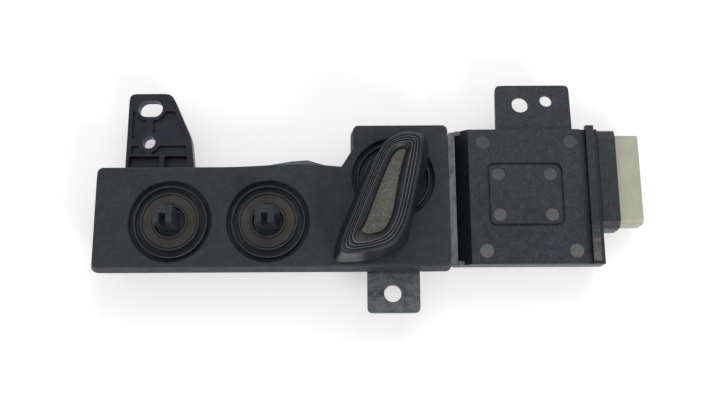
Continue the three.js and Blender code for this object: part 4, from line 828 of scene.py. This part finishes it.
def rubber_skin():
    """The skin: a rounded slab outline carried from the inner roof down the inner wall, around
    the skirt's foot, up the leaning outer wall and over the top edge, then cut by the wells."""
    s = scene_settings("skin_sizes")
    w = scene_settings("well_sizes")
    low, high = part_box("rubber_cover")
    corners = skin_corners()
    top, foot = high.z, low.z
    skirt = top - foot
    roof = top - s.top_thickness
    inner = [(s.thickness, roof), (s.thickness, roof - 2 * MM), (s.thickness, foot + 0.4 * MM)]
    outer = [(s.thickness * 0.5, foot), (0.15 * MM, foot), (0.0, foot + 0.2 * MM)]
    outer += [(0.0, z) for z in np.linspace(foot + 1 * MM, top - s.edge_radius, 5)]
    edge = arc((s.edge_radius, top - s.edge_radius), s.edge_radius, 180, 90, 7)
    section = inner + outer + [tuple(point) for point in edge[1:]]
    rings = [
        level(lean(rounded_ring(corners, inward), ((top - z) / skirt) ** 1.3), z)
        for inward, z in section
    ]
    skin = skinned("rubber_skin", np.array(rings))
    floor = top - w.floor_drop
    cup_radius = w.radius + w.wall
    for spot in map(centre_of, BOOTS):
        cup = np.array([(cup_radius, floor - w.web), (cup_radius, top - 0.6 * MM)])
        combine(skin, skinned("cup", turned_rings(cup, spot, w.segments)), "UNION")
        combine(skin, well_air(spot, top), "DIFFERENCE")
    # The slope is carried on past the skin's end, where it has fallen further.
    beyond, over = low.x - 9 * MM, top + 3 * MM
    fold = low.x + s.end_fold
    sloped = top - s.end_drop * 1.85
    wedge = np.array(
        [
            [(beyond, y, sloped), (fold, y, top), (fold, y, over), (beyond, y, over)]
            for y in (high.y, low.y - 5 * MM)
        ]
    )
    combine(skin, skinned("wedge", wedge), "DIFFERENCE")
    smooth_again(skin)
    return skin


def boot_profile(low, top):
    """Closed (radius, height) profile of a boot, anticlockwise: skirt, outer bead, groove,
    flat, groove, inner lip, then back underneath."""
    w = scene_settings("well_sizes")
    low_corner, high_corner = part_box("front_boot")
    outside = (high_corner.x - low_corner.x) / 2
    hole = w.stem_hole
    bead = w.bead_width / 2
    lip = w.lip_width / 2
    flat = top - w.bead_rise
    groove = flat - w.groove_drop
    under = flat - w.boot_thickness
    bead_foot = outside - w.bead_width
    lip_foot = hole + w.lip_width
    return np.concatenate(
        [
            [(outside, low)],
            arc((outside - bead, top - bead), bead, 0, 180, 9),
            [(bead_foot, groove), (bead_foot - 0.22 * MM, groove), (bead_foot - 0.3 * MM, flat)],
            [(outside - w.flat_width, flat + 0.05 * MM), (lip_foot + 0.4 * MM, flat)],
            [(lip_foot + 0.3 * MM, groove), (lip_foot, groove)],
            arc((hole + lip, top + w.lip_rise - lip), lip, 0, 180, 7),
            [(hole, under), (outside - w.skirt_width - 0.2 * MM, under)],
            [(outside - w.skirt_width, low)],
        ]
    )


def boot(name, node):
    """A boot turned around its stem."""
    low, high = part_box(node)
    w = scene_settings("well_sizes")
    top = high.z - 0.4 * MM
    profile = boot_profile(low.z, top)
    piece = skinned(name, turned_rings(profile, centre_of(node), w.segments), loop=True)
    # Crest shares for the painted highlight lines.
    mark_crests(piece, np.clip((profile[:, 1] - top + 0.12 * MM) / (0.1 * MM), 0, 1), w.segments)
    return piece


# ---------------------------------------------------------------- recliner knob

# Plan points in millimetres from the recliner axis, one numbering for all four rings.
KNOB_BASE = [
    (-20.1, -26.2), (-18.4, -29.3), (-9.5, -28.9), (-1.8, -26.8), (3.9, -23.0), (6.2, -15.0),
    (9.8, -3.5), (11.7, 7.0), (11.2, 14.2), (7.0, 15.6), (0.0, 13.0), (-6.6, 6.0),
    (-12.6, -5.5), (-18.4, -19.5),
]
KNOB_RIM = [
    (-17.9, -25.5), (-16.3, -28.5), (-8.5, -27.9), (-2.2, -26.2), (1.4, -23.0), (4.4, -16.5),
    (7.3, -4.5), (9.2, 5.5), (9.0, 10.6), (5.6, 12.3), (0.6, 11.3), (-4.2, 7.3),
    (-9.6, -4.6), (-15.3, -18.5),
]
KNOB_DISH = [
    (-13.9, -23.0), (-12.2, -24.9), (-7.0, -24.2), (-3.0, -22.2), (-0.4, -18.5), (1.6, -12.8),
    (3.4, -4.0), (5.2, 4.5), (5.9, 8.6), (3.6, 9.0), (0.4, 8.1), (-2.4, 5.0),
    (-7.4, -6.1), (-12.4, -18.2),
]
KNOB_INLAY = [
    (-11.2, -20.6), (-9.4, -21.8), (-6.0, -21.4), (-3.7, -20.3), (-1.8, -17.2), (-0.3, -12.6),
    (1.0, -4.9), (2.7, 2.2), (3.9, 6.5), (1.9, 6.8), (0.0, 5.3), (-1.8, 2.1),
    (-5.4, -6.6), (-9.4, -17.2),
]


def knob_rings():
    """The four smooth plan rings, moved onto the recliner axis."""
    axis = centre_of("recliner_boot")
    return [smooth_ring(points) + (axis.x, axis.y)
            for points in (KNOB_BASE, KNOB_RIM, KNOB_DISH, KNOB_INLAY)]


def knob_body():
    """One skin from the hollow's roof down inside, around the foot, up the outer wall, over
    the rounded rim, across the fine ribs (a raised cosine), down the dish and into the pocket."""
    k = scene_settings("knob_sizes")
    base, rim, dish, inlay = knob_rings()
    low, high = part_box("knob_shell")
    inlay_low, inlay_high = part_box("knob_insert")
    foot, top = low.z, high.z
    pocket_floor = inlay_low.z - 0.3 * MM
    roof = pocket_floor - 1.8 * MM
    side_top = top - k.rim_radius
    roof_ring = base + (rim - base) * (roof - foot) / (side_top - foot)
    levels = [level(moved_in(roof_ring, k.wall + 0.8 * MM), roof)]
    levels.append(level(moved_in(roof_ring, k.wall), roof - 0.8 * MM))
    levels.append(level(moved_in(base, k.wall), foot + 0.5 * MM))
    levels.append(level(moved_in(base, k.wall * 0.6), foot))
    levels.append(level(moved_in(base, 0.25 * MM), foot))
    rise = np.linspace(0.0, 1.0, 12)
    for share in rise:
        ring = base + (rim - base) * share
        ring = moved_in(ring, 0.35 * MM * math.sin(math.pi * share))
        levels.append(level(ring, foot + 0.25 * MM + (side_top - foot - 0.25 * MM) * share))
    for angle in np.radians(np.linspace(12, 90, 7)):
        inward = k.rim_radius * (1 - math.cos(angle))
        levels.append(level(moved_in(rim, inward), side_top + k.rim_radius * math.sin(angle)))
    ribbed_start = moved_in(rim, k.rim_radius)
    steps = 12 * k.ridges
    share = np.arange(1, steps + 1) / steps
    wave = 0.5 * (1 + np.cos(2 * math.pi * k.ridges * share))
    crests = [0.0] * len(levels)
    for part, crest in zip(share, wave):
        sunk = k.ridge_depth * (1 - crest) ** 0.7 + k.dish_drop * part**1.5
        levels.append(level(ribbed_start + (dish - ribbed_start) * part, top - sunk))
        # Crest shares of the fine ribs, for their painted highlight lines.
        crests.append(max(0.0, crest - 0.7) / 0.3)
    dish_edge = top - k.dish_drop
    dish_foot = inlay_high.z + 0.1 * MM
    pocket = moved_in(inlay, -k.insert_gap)
    for part in np.linspace(0.08, 1.0, 9):
        bend = part - 0.12 * math.sin(math.pi * part)
        levels.append(level(dish + (pocket - dish) * part, dish_edge + (dish_foot - dish_edge) * bend))
    levels.append(level(pocket, pocket_floor))
    crests += [0.0] * (len(levels) - len(crests))
    piece = skinned("knob_body", np.array(levels), sharp_degrees=50.0)
    mark_crests(piece, crests, len(base))
    return piece


def knob_socket():
    """The knob's socket: a round tube with a square hole, hanging from the hollow's roof."""
    k = scene_settings("knob_sizes")
    axis = centre_of("recliner_boot")
    low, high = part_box("knob_shell")
    inlay_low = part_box("knob_insert")[0]
    segments = 48
    angles = np.linspace(0, 2 * math.pi, segments, endpoint=False) + math.pi / segments
    circle = np.stack([np.cos(angles), np.sin(angles)], -1)
    square = circle / np.max(np.abs(circle), axis=1)[:, None]
    half = k.socket_square / 2
    round_ring = circle * (half * math.sqrt(2) + k.socket_wall) + (axis.x, axis.y)
    square_ring = square * half + (axis.x, axis.y)
    foot, roof = low.z + 0.3 * MM, inlay_low.z - 1.9 * MM
    rings = [level(round_ring, foot), level(round_ring, roof), level(square_ring, roof),
             level(square_ring, foot)]
    return skinned("knob_socket", np.array(rings), loop=True)


def knob_inlay():
    """The inlay: the ring sunk to its foot, rounded at the edge and crowned in the middle by
    shrinking copies of the ring that rise as 1 - share squared."""
    k = scene_settings("knob_sizes")
    inlay = knob_rings()[3]
    low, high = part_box("knob_insert")
    edge = 0.25 * MM
    middle = inlay.mean(axis=0)
    rings = [level(moved_in(inlay, 0.1 * MM), low.z), level(moved_in(inlay, 0.1 * MM), high.z - edge)]
    start = moved_in(inlay, 0.1 * MM + edge)
    for share in np.linspace(0.0, 0.9, 10):
        rise = k.insert_crown * (1 - (1 - share) ** 2) - k.insert_crown
        rings.append(level(start + (middle - start) * share, high.z + rise * 0.5))
    return skinned("knob_inlay", np.array(rings), sharp_degrees=60.0)


# ---------------------------------------------------------------- CAD nodes that stay


def finish_node(name, width):
    """Rounds a CAD node's hard edges, keeps its flats flat and gives it its material."""
    node = frame["nodes"][name]
    slot = next(s["material_slot"] for s in frame["record"]["subparts"] if s["node"] == name)
    finish = "lid" if name == "module_cover" else slot
    node.data.materials.clear()
    node.data.materials.append(FINISHES[finish])
    weld = node.modifiers.new("weld", "WELD")
    weld.merge_threshold = 0.002 * MM
    bevel = node.modifiers.new("edges", "BEVEL")
    bevel.width = width
    bevel.segments = 2
    bevel.limit_method = "ANGLE"
    bevel.angle_limit = math.radians(38)
    flats = node.modifiers.new("flats", "WEIGHTED_NORMAL")
    flats.weight = 100
    flats.keep_sharp = True


# ---------------------------------------------------------------- operators


class PACK_OT_finishes(bpy.types.Operator):
    """Make every finish of the pack"""

    bl_idname = "pack.finishes"
    bl_label = "Finishes"

    def execute(self, context):
        make_finishes()
        return {"FINISHED"}


class PACK_OT_skin(bpy.types.Operator):
    """Make the rubber skin with its three wells"""

    bl_idname = "pack.skin"
    bl_label = "Rubber Skin"

    def execute(self, context):
        place(rubber_skin(), "housing", FINISHES["rubber"], "rubber", "rubber_cover")
        return {"FINISHED"}


class PACK_OT_boots(bpy.types.Operator):
    """Make the three boots around the stems"""

    bl_idname = "pack.boots"
    bl_label = "Boots"

    def execute(self, context):
        for node, body in zip(BOOTS, ("front_lift", "rear_lift", "recliner")):
            place(boot(node + "_skin", node), body, FINISHES["boot"], "rubber", node)
        return {"FINISHED"}


class PACK_OT_knob(bpy.types.Operator):
    """Make the recliner knob with its socket and inlay"""

    bl_idname = "pack.knob"
    bl_label = "Recliner Knob"

    def execute(self, context):
        place(knob_body(), "recliner", FINISHES["knob"], "black_plastic", "knob_shell")
        place(knob_socket(), "recliner", FINISHES["knob"], "black_plastic")
        place(knob_inlay(), "recliner", FINISHES["knob_insert"], "knob_insert", "knob_insert")
        return {"FINISHED"}


class PACK_OT_nodes(bpy.types.Operator):
    """Finish the CAD pieces that keep their shape"""

    bl_idname = "pack.nodes"
    bl_label = "Moulded and Metal Parts"

    def execute(self, context):
        widths = dict.fromkeys(("switch_frame", "rear_shell", "module_cover"), 0.2)
        widths |= dict.fromkeys(("front_stem", "rear_stem", "recliner_stem"), 0.15)
        widths |= {"connector_collar": 0.3, "connector_header": 0.25}
        for name, node in frame["nodes"].items():
            if not node.hide_render:
                finish_node(name, widths.get(name, 0.06) * MM)
        return {"FINISHED"}


class PACK_OT_stage(bpy.types.Operator):
    """Set the floor, lamps, world and camera"""

    bl_idname = "pack.stage"
    bl_label = "Stage"

    def execute(self, context):
        stage()
        return {"FINISHED"}


def lamp(name, size, place_at, power):
    """A square lamp that points at the pack."""
    data = bpy.data.lights.new(name, "AREA")
    data.shape = "SQUARE"
    data.size = size
    data.energy = power
    made = bpy.data.objects.new(name, data)
    made.location = place_at
    towards = Vector((0.0, 0.0, 0.02)) - Vector(place_at)
    made.rotation_euler = towards.to_track_quat("-Z", "Y").to_euler()
    bpy.context.scene.collection.objects.link(made)


def stage():
    """A pale floor, a front and a rear lamp, an even world and the camera."""
    settings = scene_settings("stage_settings")
    scene = bpy.context.scene
    half = settings.floor_size / 2
    corners = np.array([(-half, -half, 0), (half, -half, 0), (half, half, 0), (-half, half, 0)])
    floor = new_piece("floor", corners + (0, 0, -0.05 * MM), [[0, 1, 2, 3]])
    n = Nodes("floor_white")
    n.set(Base_Color=(0.9, 0.9, 0.9, 1.0), Roughness=0.9, Specular_IOR_Level=0.1)
    glow = n.tree.nodes.new("ShaderNodeEmission")
    seen = n.maths("MULTIPLY", seen_directly(n.tree), settings.floor_glow)
    n.link(seen, glow.inputs["Strength"])
    total = n.tree.nodes.new("ShaderNodeAddShader")
    n.link(n.shader.outputs["BSDF"], total.inputs[0])
    n.link(glow.outputs["Emission"], total.inputs[1])
    n.link(total.outputs["Shader"], n.tree.nodes["Material Output"].inputs["Surface"])
    floor.data.materials.append(n.material)

    world = bpy.data.worlds.new("studio")
    world.use_nodes = True
    scene.world = world
    background = world.node_tree.nodes["Background"]
    background.inputs["Color"].default_value = (1.0, 1.0, 1.0, 1.0)
    dim = world.node_tree.nodes.new("ShaderNodeMapRange")
    dim.inputs["To Min"].default_value = settings.world_strength
    dim.inputs["To Max"].default_value = 1.0
    world.node_tree.links.new(seen_directly(world.node_tree), dim.inputs["Value"])
    world.node_tree.links.new(dim.outputs["Result"], background.inputs["Strength"])

    lamp("key", settings.key_size, (0.5, -0.8, 0.6), settings.key_power)
    lamp("fill", settings.fill_size, (0.2, 0.8, 0.9), settings.fill_power)

    low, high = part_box("rubber_cover")
    aim = Vector((low.x, low.y, high.z)) + Vector(settings.aim_shift)
    camera_data = bpy.data.cameras.new("camera")
    camera_data.lens = settings.lens
    camera_data.sensor_width = 36.0
    camera_data.clip_start = 0.01
    camera_data.clip_end = 20.0
    camera = bpy.data.objects.new("camera", camera_data)
    back = Vector((0.0, -math.sin(settings.tilt), math.cos(settings.tilt)))
    camera.location = aim + back * settings.distance
    turn = Matrix.Rotation(settings.tilt, 3, "X") @ Matrix.Rotation(settings.roll, 3, "Z")
    camera.rotation_euler = turn.to_euler()
    scene.collection.objects.link(camera)
    scene.camera = camera
    scene.view_settings.view_transform = "Standard"


class PACK_PT_panel(bpy.types.Panel):
    """Lists the pack's pieces in the sidebar"""

    bl_label = "Switch Pack"
    bl_idname = "PACK_PT_panel"
    bl_space_type = "VIEW_3D"
    bl_region_type = "UI"
    bl_category = "Switch Pack"

    def draw(self, context):
        for operator in OPERATORS:
            self.layout.operator(operator.bl_idname)


GROUPS = {
    "skin_sizes": SkinSizes,
    "well_sizes": WellSizes,
    "knob_sizes": KnobSizes,
    "pack_colours": PackColours,
    "stage_settings": StageSettings,
}
OPERATORS = (PACK_OT_finishes, PACK_OT_skin, PACK_OT_boots, PACK_OT_knob, PACK_OT_nodes,
             PACK_OT_stage)


def register():
    for name, group in GROUPS.items():
        bpy.utils.register_class(group)
        setattr(bpy.types.Scene, name, PointerProperty(type=group))
    for kind in (*OPERATORS, PACK_PT_panel):
        bpy.utils.register_class(kind)


def unregister():
    for kind in (PACK_PT_panel, *reversed(OPERATORS)):
        bpy.utils.unregister_class(kind)
    for name, group in GROUPS.items():
        delattr(bpy.types.Scene, name)
        bpy.utils.unregister_class(group)


def main():
    register()
    bpy.ops.pack.finishes()
    bpy.ops.pack.skin()
    bpy.ops.pack.boots()
    bpy.ops.pack.knob()
    bpy.ops.pack.nodes()
    bpy.ops.pack.stage()


if __name__ == "__main__":
    main()
